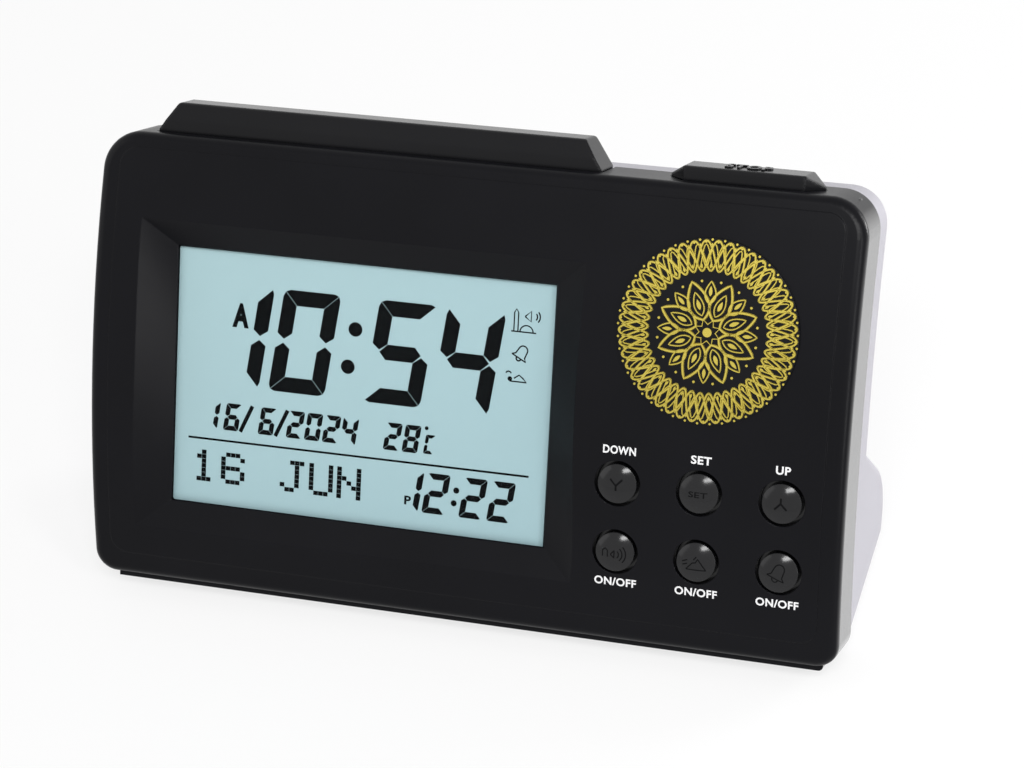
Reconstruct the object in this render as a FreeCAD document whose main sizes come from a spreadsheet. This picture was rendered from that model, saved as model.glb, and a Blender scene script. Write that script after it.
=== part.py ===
import FreeCAD, Part
import os
import Sketcher

# A digital desk clock for prayer times: a curved black front, a silver rear shell and what they hold.
# Most bodies are drawn in the face's own frame (x right, y back, z up along the face) and leant back.
# The ones on the underside are drawn in the clock's standing frame, whose z is 0 at the table.

doc = FreeCAD.newDocument("prayer_clock")
sheet = doc.addObject("Spreadsheet::Sheet", "dim")
vec = FreeCAD.Vector
WORLD_X = vec(1, 0, 0)

# Sizes in millimetres, angles in degrees
SIZES = [
    ("width", "150", "case, side to side"),
    ("face_top", "44.1", "top of the case above the middle of the face"),
    ("face_bottom", "43.8", "bottom of the case below the middle of the face"),
    ("face_radius", "200", "curve of the face from top to bottom"),
    ("face_centre", "195.5", "depth of the common centre of all the case's curves"),
    ("housing_depth", "12.4", "black front housing, front to back"),
    ("wall", "2", "front housing's wall"),
    ("top_corner", "7.5", "outline corners at the top"),
    ("bottom_corner", "4.5", "outline corners at the bottom"),
    ("edge_round", "1.9", "rounding round the face"),
    ("panel_half", "=width/2 - 4", "half width of the raised panel of the face"),
    ("panel_top", "41.3", "raised panel's top edge"),
    ("panel_bottom", "39.2", "raised panel's bottom edge"),
    ("panel_corner", "3.5", "raised panel's corners"),
    ("panel_rise", "0.2", "panel above the rim round it"),
    ("soft_gap", "0.3", "room round a part that slides in an opening"),
    ("seat_gap", "0.05", "room between parts that lie against each other"),
    ("view_left", "=width/2 - 16.1", "display opening's left edge at the back"),
    ("view_right", "=width/2 - 57.9", "display opening's right edge at the back"),
    ("view_top", "22.7", "display opening's top edge at the back"),
    ("view_bottom", "27.6", "display opening's bottom edge at the back"),
    ("view_back", "1", "depth of the display opening's back edge"),
    ("bevel_front", "5.5", "height of the front section that shapes the bevel"),
    ("bevel_left_top", "=width/2 - 4.1", "front section, left side at the top"),
    ("bevel_left_low", "=width/2 - 0.9", "front section, left side at the bottom"),
    ("bevel_right_top", "=width/2 - 46.1", "front section, right side at the top"),
    ("bevel_right_low", "=width/2 - 42.8", "front section, right side at the bottom"),
    ("bevel_top", "32.9", "front section, top"),
    ("bevel_low", "40.6", "front section, bottom"),
    ("bevel_bow", "117", "bow of the front section's sides"),
    ("block_side", "8", "solid round the display opening at the sides"),
    ("block_end", "7.3", "solid round the display opening above and below"),
    ("key_x", "=width/2 - 42.75", "first column of keys"),
    ("key_pitch", "15.6", "from column to column"),
    ("key_upper", "12.3", "upper row of keys below the middle"),
    ("key_lower", "25.65", "lower row of keys below the middle"),
    ("key_hole", "4.4", "radius of a key's hole"),
    ("key_cap", "3.72", "radius of a key's cap"),
    ("key_proud", "0.1", "edge of the cap in front of the face"),
    ("key_dome", "0.9", "height of the cap's dome"),
    ("key_flange", "5.25", "radius of the flange that keeps a key in"),
    ("key_flange_thick", "1", "thickness of that flange"),
    ("key_stem", "1.5", "radius of a push stem"),
    ("upper_flange", "-1.65", "depth of the upper row's flanges"),
    ("lower_flange", "0.02", "depth of the lower row's flanges"),
    ("switch_half", "3", "half width of a push switch"),
    ("switch_tall", "3.5", "height of a push switch"),
    ("switch_bore", "1.8", "radius of the hole in a push switch"),
    ("switch_deep", "1.6", "depth of that hole"),
    ("stem_in", "0.5", "length of stem that stands in a switch at rest"),
    ("board_front", "8", "depth of the circuit boards' front"),
    ("board_thick", "1.6", "thickness of the circuit boards"),
    ("top_board_low", "33", "underside of the upper circuit board"),
    ("top_board_thick", "1.4", "thickness of the upper circuit board"),
    ("bar_left", "=width/2 - 9.8", "light bar's left end"),
    ("bar_right", "=width/2 - 51.5", "light bar's right end"),
    ("bar_front", "4.3", "light bar's front"),
    ("bar_rear", "12.2", "light bar's rear"),
    ("bar_top", "49.8", "light bar's top"),
    ("bar_facet", "46.4", "height where the bar's front starts to lean back"),
    ("bar_lean", "1.1", "lean of the bar's front at the top"),
    ("bar_end_run", "3.6", "lean of the bar's ends"),
    ("bar_round", "0.8", "rounding of the bar's top edges"),
    ("push_flange_top", "41.9", "top of the flange under the bar and the stop button"),
    ("push_flange_thick", "1.6", "thickness of that flange"),
    ("push_flange_side", "1", "flange past the ends of the bar and the stop button"),
    ("push_flange_front", "3", "front of that flange"),
    ("push_flange_rear", "14.1", "rear of that flange"),
    ("push_y", "8.55", "depth of the stems under the bar and the stop button"),
    ("stop_left", "=width/2 - 39.1", "stop button's left point"),
    ("stop_right", "=width/2 - 9.9", "stop button's right point"),
    ("stop_point", "3.3", "length of the stop button's points"),
    ("stop_front", "4.1", "stop button's front"),
    ("stop_rear", "12.2", "stop button's rear"),
    ("stop_top", "46.8", "stop button's top"),
    ("stop_edge", "44.7", "height of the stop button's points"),
    ("medal_x", "=width/2 - 27.5", "medallion's centre, to the right"),
    ("medal_z", "17.9", "medallion's centre, upwards"),
    ("medal_radius", "17.06", "medallion's radius"),
    ("medal_thick", "0.5", "medallion's thickness"),
    ("rail_left", "=width/2 - 4.6", "left end of the rail under the front"),
    ("rail_right", "=width/2 - 3", "right end of that rail"),
    ("rail_front", "2.6", "front of that rail"),
    ("rail_rear", "8", "rear of that rail"),
    ("rail_drop", "1.1", "height of that rail"),
    ("shell_depth", "8.8", "silver rear shell behind the front housing"),
    ("shell_inset", "0.3", "rear shell inside the front's outline"),
    ("shell_gap", "0.1", "joint between the front housing and the rear shell"),
    ("shell_wall", "1.8", "rear shell's wall"),
    ("shell_low", "43.2", "rear shell's lowest front edge"),
    ("back_round", "1", "rounding round the back"),
    ("bulge_start", "4.9", "where the battery bulge leaves the back, below the middle"),
    ("bulge_fall", "0.41", "fall of the bulge's top per millimetre of depth"),
    ("bulge_rear", "40.7", "depth of the bulge's rear"),
    ("bulge_round", "12", "rounding of the bulge's shoulder"),
    ("bulge_foot", "2.6", "rounding of the bulge's lower rear edge"),
    ("recline", "28", "angle at which the clock stands leant back"),
    ("foot_proud", "0.8", "feet below the underside"),
    ("foot_radius", "4", "radius of a foot"),
    ("foot_sunk", "0.6", "depth of a foot's seat"),
    ("foot_x", "=width/2 - 19", "feet from the middle"),
    ("foot_front", "-14", "front feet"),
    ("foot_rear", "5.4", "rear feet"),
    ("shift_back", "-9.895", "from the middle of the face to the middle of the footprint"),
    ("boss_radius", "3.3", "bosses of the case screws"),
    ("boss_end", "13", "rear end of the front housing's bosses"),
    ("upper_boss_x", "=width/2 - 6.5", "upper case screws"),
    ("upper_boss_z", "26", "upper case screws"),
    ("lower_boss_x", "=width/2 - 9", "lower case screws"),
    ("lower_boss_z", "37.2", "lower case screws"),
    ("screw_seat", "15.3", "depth of the case screws' seats"),
    ("screw_shaft", "1.3", "radius of a case screw"),
    ("screw_head", "2.7", "radius of a case screw's head"),
    ("screw_head_tall", "1.9", "height of a case screw's head"),
    ("screw_long", "9", "length of a case screw under its head"),
    ("thread_gap", "0.05", "room round a screw's shaft in its pilot hole"),
    ("small_shaft", "0.95", "radius of a board screw"),
    ("small_head", "1.8", "radius of a board screw's head"),
    ("small_head_tall", "1.3", "height of a board screw's head"),
    ("small_long", "5.5", "length of a board screw under its head"),
    ("post_radius", "1.9", "posts that the boards stand on"),
    ("speaker_x", "=width/2 - 27.5", "speaker's centre, to the right"),
    ("speaker_z", "13", "speaker's centre, upwards"),
    ("speaker_radius", "16", "speaker's rim"),
    ("speaker_seat", "13.9", "depth of the speaker's seat"),
    ("grille_hole", "0.8", "radius of a grille hole"),
    ("grille_step", "4.2", "from ring to ring of grille holes"),
    ("door_half", "27", "half width of the battery door's opening"),
    ("door_tongue", "2", "width of the door's tongues"),
    ("door_front", "-13.2", "front edge of the door's opening"),
    ("door_rear", "12", "rear edge of the battery door"),
    ("door_split", "0.95", "height of the ledges that the tongues slide on"),
    ("door_gap", "0.2", "room at the door's sides"),
    ("cell_radius", "5.25", "battery cell"),
    ("cell_long", "44.5", "battery cell with its nub"),
    ("cell_pitch", "10.9", "from cell to cell"),
    ("cell_y", "-1.4", "middle between the cells"),
    ("cell_z", "8", "height of the cells' axes"),
    ("tray_half", "25.5", "half length of the battery tray inside"),
    ("tray_roof", "14.4", "height of the tray's roof inside"),
    ("tray_wall", "1.2", "battery tray's wall"),
    ("contact_thick", "0.4", "battery contacts"),
]

for row, (alias, value, meaning) in enumerate(SIZES, start=1):
    sheet.set("A%d" % row, alias)
    sheet.set("B%d" % row, value)
    sheet.set("C%d" % row, meaning)
    sheet.setAlias("B%d" % row, alias)
doc.recompute()


def arc_y(radius, z):
    """Depth of a case curve of that radius at height z."""
    return "(dim.face_centre - sqrt((%s)^2 - (%s)^2))" % (radius, z)


# Curves that share one centre, from the face to the outside of the back
FACE = "dim.face_radius"
RIM = "dim.face_radius - dim.panel_rise"
FACE_IN = "dim.face_radius - dim.wall"
MID_WALL = "dim.face_radius - dim.wall/2"
PARTING = "dim.face_radius - dim.housing_depth"
SHELL_FRONT = "dim.face_radius - dim.housing_depth - dim.shell_gap"
BACK = "dim.face_radius - dim.housing_depth - dim.shell_depth"
BACK_IN = "dim.face_radius - dim.housing_depth - dim.shell_depth + dim.shell_wall"
BACK_MID = "dim.face_radius - dim.housing_depth - dim.shell_depth + dim.shell_wall/2"

# Where the clock stands: height of the face's middle above the table
LOW_Y = arc_y(SHELL_FRONT, "dim.shell_low")
STAND = "(dim.foot_proud + dim.shell_low*cos(dim.recline) + %s*sin(dim.recline))" % LOW_Y


def value(text):
    return float(sheet.evalExpression(text))


def bind(sketch, kind, where, text):
    """A constraint whose size follows the sheet."""
    index = sketch.addConstraint(Sketcher.Constraint(kind, *where, value(text)))
    sketch.renameConstraint(index, "size_%d" % index)
    sketch.setExpression("Constraints.size_%d" % index, text)


def add_arc(sketch, start, stop, radius, side):
    """A short arc from start to stop whose centre is on that side of the way there."""
    middle = (start + stop) * 0.5
    way = stop - start
    half = way.Length / 2
    across = vec(-way.y, way.x, 0) / way.Length
    if side == "right":
        across = across * -1
    centre = middle + across * (radius ** 2 - half ** 2) ** 0.5
    circle = Part.Circle(centre, vec(0, 0, 1), radius)
    ends = (start, stop) if side == "left" else (stop, start)
    first = circle.parameter(ends[0])
    last = circle.parameter(ends[1])
    sketch.addGeometry(Part.ArcOfCircle(circle, first, last), False)
    return (1, 2) if side == "left" else (2, 1)


def loop(sketch, corners, arcs=()):
    """A closed outline; arcs lists an edge's number, its radius and the side its centre is on."""
    bends = {n: (radius, side) for n, radius, side in arcs}
    points = [vec(value(a), value(b), 0) for a, b in corners]
    first = sketch.GeometryCount
    ends = []
    for n, start in enumerate(points):
        stop = points[(n + 1) % len(points)]
        if n in bends:
            ends.append(add_arc(sketch, start, stop, value(bends[n][0]), bends[n][1]))
        else:
            sketch.addGeometry(Part.LineSegment(start, stop), False)
            ends.append((1, 2))
    for n in range(len(points)):
        m = (n + 1) % len(points)
        joint = (first + n, ends[n][1], first + m, ends[m][0])
        sketch.addConstraint(Sketcher.Constraint("Coincident", *joint))
    for n, (a, b) in enumerate(corners):
        bind(sketch, "DistanceX", (-1, 1, first + n, ends[n][0]), a)
        bind(sketch, "DistanceY", (-1, 1, first + n, ends[n][0]), b)
    for n, (radius, side) in bends.items():
        bind(sketch, "Radius", (first + n,), radius)


def box(sketch, left, right, low, high, corner=None):
    """A rectangle, with round corners where a radius is given."""
    if corner is None:
        loop(sketch, [(left, low), (right, low), (right, high), (left, high)])
        return
    inner_left = "%s + %s" % (left, corner)
    inner_right = "%s - (%s)" % (right, corner)
    inner_low = "%s + %s" % (low, corner)
    inner_high = "%s - (%s)" % (high, corner)
    corners = [(inner_left, low), (inner_right, low), (right, inner_low), (right, inner_high),
               (inner_right, high), (inner_left, high), (left, inner_high), (left, inner_low)]
    loop(sketch, corners, [(n, corner, "left") for n in (1, 3, 5, 7)])


def circles(sketch, centres, radius):
    for across, up in centres:
        n = sketch.GeometryCount
        centre = vec(value(across), value(up), 0)
        sketch.addGeometry(Part.Circle(centre, vec(0, 0, 1), value(radius)), False)
        bind(sketch, "DistanceX", (-1, 1, n, 3), across)
        bind(sketch, "DistanceY", (-1, 1, n, 3), up)
        bind(sketch, "Radius", (n,), radius)


PLANES = {"xy": "XY_Plane", "xz": "XZ_Plane", "yz": "YZ_Plane"}


def sketch_at(body, name, plane, place="0"):
    """A sketch on one of the body's own planes, moved along that plane's axis."""
    sketch = body.newObject("Sketcher::SketchObject", name)
    ground = plane == "ground"
    role = "XY_Plane" if ground else PLANES[plane]
    planes = [o for o in body.Origin.OriginFeatures if o.Role == role]
    sketch.AttachmentSupport = [(planes[0], "")]
    sketch.MapMode = "FlatFace"
    if ground:
        # Level with the table, at a height above it, in a body that is drawn in the face's frame
        drop = "((%s) - %s)" % (place, STAND)
        sketch.AttachmentOffset = FreeCAD.Placement(vec(0, 0, 0), FreeCAD.Rotation(WORLD_X, 1))
        sketch.setExpression("AttachmentOffset.Rotation.Angle", "dim.recline * 1deg")
        sketch.setExpression("AttachmentOffset.Base.y",
                             "-dim.shift_back*cos(dim.recline) - %s*sin(dim.recline)" % drop)
        sketch.setExpression("AttachmentOffset.Base.z",
                             "-dim.shift_back*sin(dim.recline) + %s*cos(dim.recline)" % drop)
    else:
        sign = "-" if plane == "xz" else ""
        sketch.setExpression("AttachmentOffset.Base.z", "%s(%s)" % (sign, place))
    return sketch


def feature(body, kind, name, sketch, length, along=True, both=False):
    made = body.newObject("PartDesign::" + kind, name)
    made.Profile = sketch
    if both:
        made.SideType = "Symmetric"
    else:
        made.Reversed = along
    made.setExpression("Length", length)
    sketch.Visibility = False
    return made


def slab(body, kind, name, plane, low, high, draw):
    """A pad or pocket between two places on the plane's axis, low to high."""
    sketch = sketch_at(body, name + "_sketch", plane, low)
    draw(sketch)
    backwards = (plane == "xz") == (kind == "Pad")
    return feature(body, kind, name, sketch, "(%s) - (%s)" % (high, low), backwards)


def across(body, kind, name, width, draw):
    """A pad or pocket of a side profile, half to the left and half to the right."""
    sketch = sketch_at(body, name + "_sketch", "yz")
    draw(sketch)
    return feature(body, kind, name, sketch, width, both=True)


def turned(body, name, corners, arcs=()):
    """A solid turned about the body's y axis from a half outline of radius and depth."""
    sketch = sketch_at(body, name + "_sketch", "xy")
    loop(sketch, corners, arcs)
    made = body.newObject("PartDesign::Revolution", name)
    made.Profile = sketch
    made.ReferenceAxis = (sketch, ["V_Axis"])
    made.Angle = 360
    sketch.Visibility = False
    return made


def round_edges(body, name, radius, wanted):
    """A fillet on each edge of the body so far whose three sample points all pass the test."""
    doc.recompute()
    tip = body.Tip
    names = []
    for n, edge in enumerate(tip.Shape.Edges, start=1):
        span = edge.LastParameter - edge.FirstParameter
        points = [edge.valueAt(edge.FirstParameter + span * part) for part in (0.02, 0.5, 0.98)]
        if all(wanted(p) for p in points):
            names.append("Edge%d" % n)
    made = body.newObject("PartDesign::Fillet", name)
    made.Base = (tip, names)
    made.setExpression("Radius", radius)
    return made


NODES = []


def new_body(label, frame="face"):
    """A body of its own; a face-frame body is leant back and lifted as a whole."""
    body = doc.addObject("PartDesign::Body", label)
    body.Label = label
    body.AllowCompound = True
    if frame == "face":
        lean_back(body, "0", "0")
    NODES.append(body)
    return body


def lean_back(body, x, z):
    """Puts the body's origin at x and z of the face and leans it back."""
    body.Placement = FreeCAD.Placement(vec(0, 0, 0), FreeCAD.Rotation(WORLD_X, -1))
    body.setExpression("Placement.Rotation.Angle", "-dim.recline * 1deg")
    body.setExpression("Placement.Base.x", x)
    body.setExpression("Placement.Base.y", "dim.shift_back + (%s)*sin(dim.recline)" % z)
    body.setExpression("Placement.Base.z", "%s + (%s)*cos(dim.recline)" % (STAND, z))


HALF = "dim.width/2"
KEYS = [("dim.key_x + %d*dim.key_pitch" % column, row)
        for row in ("-dim.key_upper", "-dim.key_lower") for column in range(3)]
CASE_SCREWS = [("dim.upper_boss_x", "dim.upper_boss_z"), ("-dim.upper_boss_x", "dim.upper_boss_z"),
               ("dim.lower_boss_x", "-dim.lower_boss_z"), ("-dim.lower_boss_x", "-dim.lower_boss_z")]
DISPLAY_POSTS = [("-50", "30.4"), ("8", "30.4"), ("-50", "-36.2"), ("8", "-36.2")]
KEY_POSTS = [("dim.key_x + dim.key_pitch/2", "-19"), ("dim.key_x + dim.key_pitch*1.5", "-19"),
             ("70.4", "-19")]
TOP_POSTS = [("-69.4", "dim.push_y"), ("29.7", "dim.push_y"), ("69.5", "dim.push_y")]
BAR_STEMS = [("-45", "dim.push_y"), ("3", "dim.push_y")]
STOP_STEM = [("(dim.stop_left + dim.stop_right)/2", "dim.push_y")]

# Front housing: the black half with the face
front = new_body("front_housing")


def front_profile(sketch):
    corners = [(arc_y(RIM, "dim.face_top"), "dim.face_top"),
               (arc_y(PARTING, "dim.face_top"), "dim.face_top"),
               (arc_y(PARTING, "dim.face_bottom"), "-dim.face_bottom"),
               (arc_y(RIM, "dim.face_bottom"), "-dim.face_bottom")]
    loop(sketch, corners, [(1, PARTING, "left"), (3, RIM, "right")])


across(front, "Pad", "front_block", "dim.width", front_profile)
slab(front, "Pad", "face_panel", "xz", "-6", "1.5",
     lambda s: box(s, "-dim.panel_half", "dim.panel_half", "-dim.panel_bottom", "dim.panel_top",
                   "dim.panel_corner"))


def before_face(sketch):
    corners = [("-12", "48"), (arc_y(FACE, "48"), "48"), (arc_y(FACE, "48"), "-48"), ("-12", "-48")]
    loop(sketch, corners, [(1, FACE, "left")])


across(front, "Pocket", "face_curve", "dim.width", before_face)


def front_hollow(sketch):
    top = "dim.face_top - dim.wall"
    low = "dim.face_bottom - dim.wall"
    corners = [(arc_y(FACE_IN, top), top), ("18", top), ("18", "-(%s)" % low),
               (arc_y(FACE_IN, low), "-(%s)" % low)]
    loop(sketch, corners, [(3, FACE_IN, "right")])


across(front, "Pocket", "front_inside", "dim.width - 2*dim.wall", front_hollow)
inner_x = value("dim.width/2 - dim.wall")
inner_top = value("dim.face_top - dim.wall")
inner_low = value("dim.wall - dim.face_bottom")
round_edges(front, "inside_top_corners", "dim.top_corner - dim.wall",
            lambda p: abs(abs(p.x) - inner_x) < 0.01 and abs(p.z - inner_top) < 0.01)
round_edges(front, "inside_low_corners", "dim.bottom_corner - dim.wall",
            lambda p: abs(abs(p.x) - inner_x) < 0.01 and abs(p.z - inner_low) < 0.01)
outer_x = value(HALF)
outer_top = value("dim.face_top")
outer_low = value("-dim.face_bottom")
round_edges(front, "top_corners", "dim.top_corner",
            lambda p: abs(abs(p.x) - outer_x) < 0.01 and abs(p.z - outer_top) < 0.01)
round_edges(front, "low_corners", "dim.bottom_corner",
            lambda p: abs(abs(p.x) - outer_x) < 0.01 and abs(p.z - outer_low) < 0.01)
rim_radius = value(RIM)
centre_y = value("dim.face_centre")
step_x = value("dim.panel_half") + 0.3
step_top = value("dim.panel_top") + 0.3
step_low = -value("dim.panel_bottom") - 0.3


def on_rim_edge(p):
    away = ((p.y - centre_y) ** 2 + p.z ** 2) ** 0.5
    outside = abs(p.x) > step_x or p.z > step_top or p.z < step_low
    return abs(away - rim_radius) < 0.01 and outside


round_edges(front, "face_edge", "dim.edge_round", on_rim_edge)

# The solid round the display opening, then the bevelled opening itself
block_top = "dim.view_top + dim.block_end"
block_low = "dim.view_bottom + dim.block_end"
block = sketch_at(front, "display_block_sketch", "yz", "-dim.view_left - dim.block_side")
loop(block, [(arc_y(MID_WALL, block_top), block_top), ("dim.view_back", block_top),
             ("dim.view_back", "-(%s)" % block_low), (arc_y(MID_WALL, block_low), "-(%s)" % block_low)],
     [(3, MID_WALL, "right")])
feature(front, "Pad", "display_block", block, "dim.view_left + dim.view_right + 2*dim.block_side",
        along=False)
bevel_outer = sketch_at(front, "bevel_outer", "xz", "-dim.bevel_front")
loop(bevel_outer, [("-dim.bevel_left_low", "-dim.bevel_low"), ("dim.bevel_right_low", "-dim.bevel_low"),
                   ("dim.bevel_right_top", "dim.bevel_top"), ("-dim.bevel_left_top", "dim.bevel_top")],
     [(1, "dim.bevel_bow", "right"), (3, "dim.bevel_bow", "right")])
bevel_inner = sketch_at(front, "bevel_inner", "xz", "dim.view_back")
box(bevel_inner, "-dim.view_left", "dim.view_right", "-dim.view_bottom", "dim.view_top")
bevel = front.newObject("PartDesign::SubtractiveLoft", "display_bevel")
bevel.Profile = bevel_outer
bevel.Sections = [bevel_inner]
bevel.Ruled = True

# Key holes and the openings in the top wall
slab(front, "Pocket", "key_holes", "xz", "-6", "1.4", lambda s: circles(s, KEYS, "dim.key_hole"))
slab(front, "Pocket", "bar_notch", "xy", "dim.face_top - dim.wall - 0.5", "dim.face_top + 1",
     lambda s: box(s, "-dim.bar_left - dim.soft_gap", "dim.bar_right + dim.soft_gap",
                   "dim.bar_front - dim.soft_gap", "dim.bar_rear + 2"))


def stop_outline(sketch, grow, rear):
    left = "dim.stop_left - (%s)" % grow
    right = "dim.stop_right + (%s)" % grow
    low = "dim.stop_front - (%s)" % grow
    high = "dim.stop_rear + (%s)" % grow
    middle = "(dim.stop_front + dim.stop_rear)/2"
    corners = [(left, middle), ("%s + dim.stop_point" % left, low), ("%s - dim.stop_point" % right, low),
               (right, middle), ("%s - dim.stop_point" % right, high)]
    if rear:
        corners.append(("%s - dim.stop_point" % right, rear))
        corners.append(("%s + dim.stop_point" % left, rear))
    corners.append(("%s + dim.stop_point" % left, high))
    loop(sketch, corners)


slab(front, "Pocket", "stop_notch", "xy", "dim.face_top - dim.wall - 0.5", "dim.face_top + 1",
     lambda s: stop_outline(s, "dim.soft_gap", "dim.stop_rear + 2"))

# The rail under the front edge, and the bosses and posts inside
slab(front, "Pad", "low_rail", "xy", "-dim.face_bottom - dim.rail_drop", "-dim.face_bottom + 0.5",
     lambda s: box(s, "-dim.rail_left", "dim.rail_right", "dim.rail_front", "dim.rail_rear"))
rail_low = value("-dim.face_bottom - dim.rail_drop")
rail_x = value("dim.rail_right")
round_edges(front, "rail_end", "0.9",
            lambda p: abs(p.z - rail_low) < 0.01 and abs(p.x - rail_x) < 0.01)
for n, (x, z) in enumerate(CASE_SCREWS):
    slab(front, "Pad", "case_boss_%d" % n, "xz", arc_y(MID_WALL, z), "dim.boss_end",
         lambda s: circles(s, [(x, z)], "dim.boss_radius"))
for n, (x, z) in enumerate(DISPLAY_POSTS + KEY_POSTS):
    slab(front, "Pad", "board_post_%d" % n, "xz", arc_y(MID_WALL, z), "dim.board_front - dim.seat_gap",
         lambda s: circles(s, [(x, z)], "dim.post_radius"))
slab(front, "Pad", "top_posts", "xy", "dim.top_board_low + dim.top_board_thick + dim.seat_gap",
     "dim.face_top - dim.wall/2", lambda s: circles(s, TOP_POSTS, "dim.post_radius + 0.3"))
slab(front, "Pocket", "case_pilots", "xz", "dim.screw_seat - dim.screw_long - 0.8", "dim.boss_end + 1",
     lambda s: circles(s, CASE_SCREWS, "dim.screw_shaft + dim.thread_gap"))
BOARD_SCREW_TIP = "dim.board_front + dim.board_thick - dim.small_long"
slab(front, "Pocket", "board_pilots", "xz", BOARD_SCREW_TIP + " - 0.5", "dim.board_front + 1",
     lambda s: circles(s, DISPLAY_POSTS + KEY_POSTS, "dim.small_shaft + dim.thread_gap"))
slab(front, "Pocket", "top_pilots", "xy", "dim.top_board_low", "dim.top_board_low + dim.small_long + 0.5",
     lambda s: circles(s, TOP_POSTS, "dim.small_shaft + dim.thread_gap"))

# Rear shell: the silver half with the battery bulge and the underside that the clock stands on
shell = new_body("rear_shell")
SHELL_TOP = "dim.face_top - dim.shell_inset"
SHELL_WIDE = "dim.width - 2*dim.shell_inset"
BULGE_Y = arc_y(BACK, "dim.bulge_start")
SHOULDER_Z = "-(dim.bulge_start + dim.bulge_fall*(dim.bulge_rear - %s))" % BULGE_Y
FOOT_Z = "-dim.shell_low + (dim.bulge_rear - %s)*tan(dim.recline)" % LOW_Y


def shell_profile(sketch):
    corners = [(arc_y(SHELL_FRONT, SHELL_TOP), SHELL_TOP), (arc_y(BACK, SHELL_TOP), SHELL_TOP),
               (BULGE_Y, "-dim.bulge_start"), ("dim.bulge_rear", SHOULDER_Z),
               ("dim.bulge_rear", FOOT_Z), (LOW_Y, "-dim.shell_low")]
    loop(sketch, corners, [(1, BACK, "left"), (5, SHELL_FRONT, "right")])


across(shell, "Pad", "shell_block", SHELL_WIDE, shell_profile)
IN_TOP = "dim.face_top - dim.shell_inset - dim.shell_wall"
FALL_WALL = "dim.shell_wall*sqrt(1 + dim.bulge_fall^2)"
IN_START = "(dim.bulge_start + %s)" % FALL_WALL
IN_REAR = "(dim.bulge_rear - dim.shell_wall)"
IN_SHOULDER = "-(%s + dim.bulge_fall*(%s - %s))" % (IN_START, IN_REAR, BULGE_Y)
FLOOR_WALL = "dim.shell_wall/cos(dim.recline)"
IN_FOOT = "-dim.shell_low + (%s - %s)*tan(dim.recline) + %s" % (IN_REAR, LOW_Y, FLOOR_WALL)
IN_FRONT = "-dim.shell_low + (5 - %s)*tan(dim.recline) + %s" % (LOW_Y, FLOOR_WALL)


def shell_hollow(sketch):
    corners = [("5", IN_TOP), (arc_y(BACK_IN, IN_TOP), IN_TOP), (arc_y(BACK_IN, IN_START), "-" + IN_START),
               (IN_REAR, IN_SHOULDER), (IN_REAR, IN_FOOT), ("5", IN_FRONT)]
    loop(sketch, corners, [(1, BACK_IN, "left")])


across(shell, "Pocket", "shell_inside", SHELL_WIDE + " - 2*dim.shell_wall", shell_hollow)
shell_x = value("dim.width/2 - dim.shell_inset")
shell_top = value(SHELL_TOP)
hollow_x = value("dim.width/2 - dim.shell_inset - dim.shell_wall")
hollow_top = value(IN_TOP)
floor_low = value(IN_FRONT)
floor_rise = value("tan(dim.recline)")
wall_low = value("-dim.shell_low") - value(LOW_Y) * floor_rise
shoulder_in = value(IN_SHOULDER)
rear_in = value(IN_REAR)


def on_floor(p, start, depth):
    return abs(p.z - start - (p.y - depth) * floor_rise) < 0.02


round_edges(shell, "shell_inside_top", "dim.top_corner - dim.shell_inset - dim.shell_wall",
            lambda p: abs(abs(p.x) - hollow_x) < 0.01 and abs(p.z - hollow_top) < 0.01)
round_edges(shell, "shell_inside_low", "dim.bottom_corner - dim.shell_wall",
            lambda p: abs(abs(p.x) - hollow_x) < 0.01 and on_floor(p, floor_low, 5))
round_edges(shell, "shell_inside_shoulder", "dim.bulge_round - dim.shell_wall",
            lambda p: abs(p.y - rear_in) < 0.01 and abs(p.z - shoulder_in) < 0.01)

# Bosses and the speaker's collar, then everything outside the shell's outline is cut away
for n, (x, z) in enumerate(CASE_SCREWS):
    deep = "18.5" if n < 2 else "26"
    slab(shell, "Pad", "shell_boss_%d" % n, "xz", "dim.boss_end + 0.1", deep,
         lambda s: circles(s, [(x, z)], "dim.boss_radius + 0.4"))
collar = sketch_at(shell, "collar_sketch", "yz", "dim.speaker_x - dim.speaker_radius - 1")
COLLAR_TOP = "dim.speaker_z + dim.speaker_radius + 1"
COLLAR_LOW = "dim.speaker_z - dim.speaker_radius - 1"
loop(collar, [("dim.speaker_seat - 1.3", COLLAR_TOP), (arc_y(BACK_MID, COLLAR_TOP), COLLAR_TOP),
              (arc_y(BACK_MID, COLLAR_LOW), COLLAR_LOW), ("dim.speaker_seat - 1.3", COLLAR_LOW)],
     [(1, BACK_MID, "left")])
feature(shell, "Pad", "speaker_collar", collar, "2*dim.speaker_radius + 2", along=False)


def behind_shell(sketch):
    corners = [("60", "50"), (arc_y(BACK, "50"), "50"), (BULGE_Y, "-dim.bulge_start"),
               ("dim.bulge_rear", SHOULDER_Z), ("dim.bulge_rear", FOOT_Z),
               ("5", "-dim.shell_low + (5 - %s)*tan(dim.recline)" % LOW_Y), ("5", "-60"), ("60", "-60")]
    loop(sketch, corners, [(1, BACK, "left")])


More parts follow.
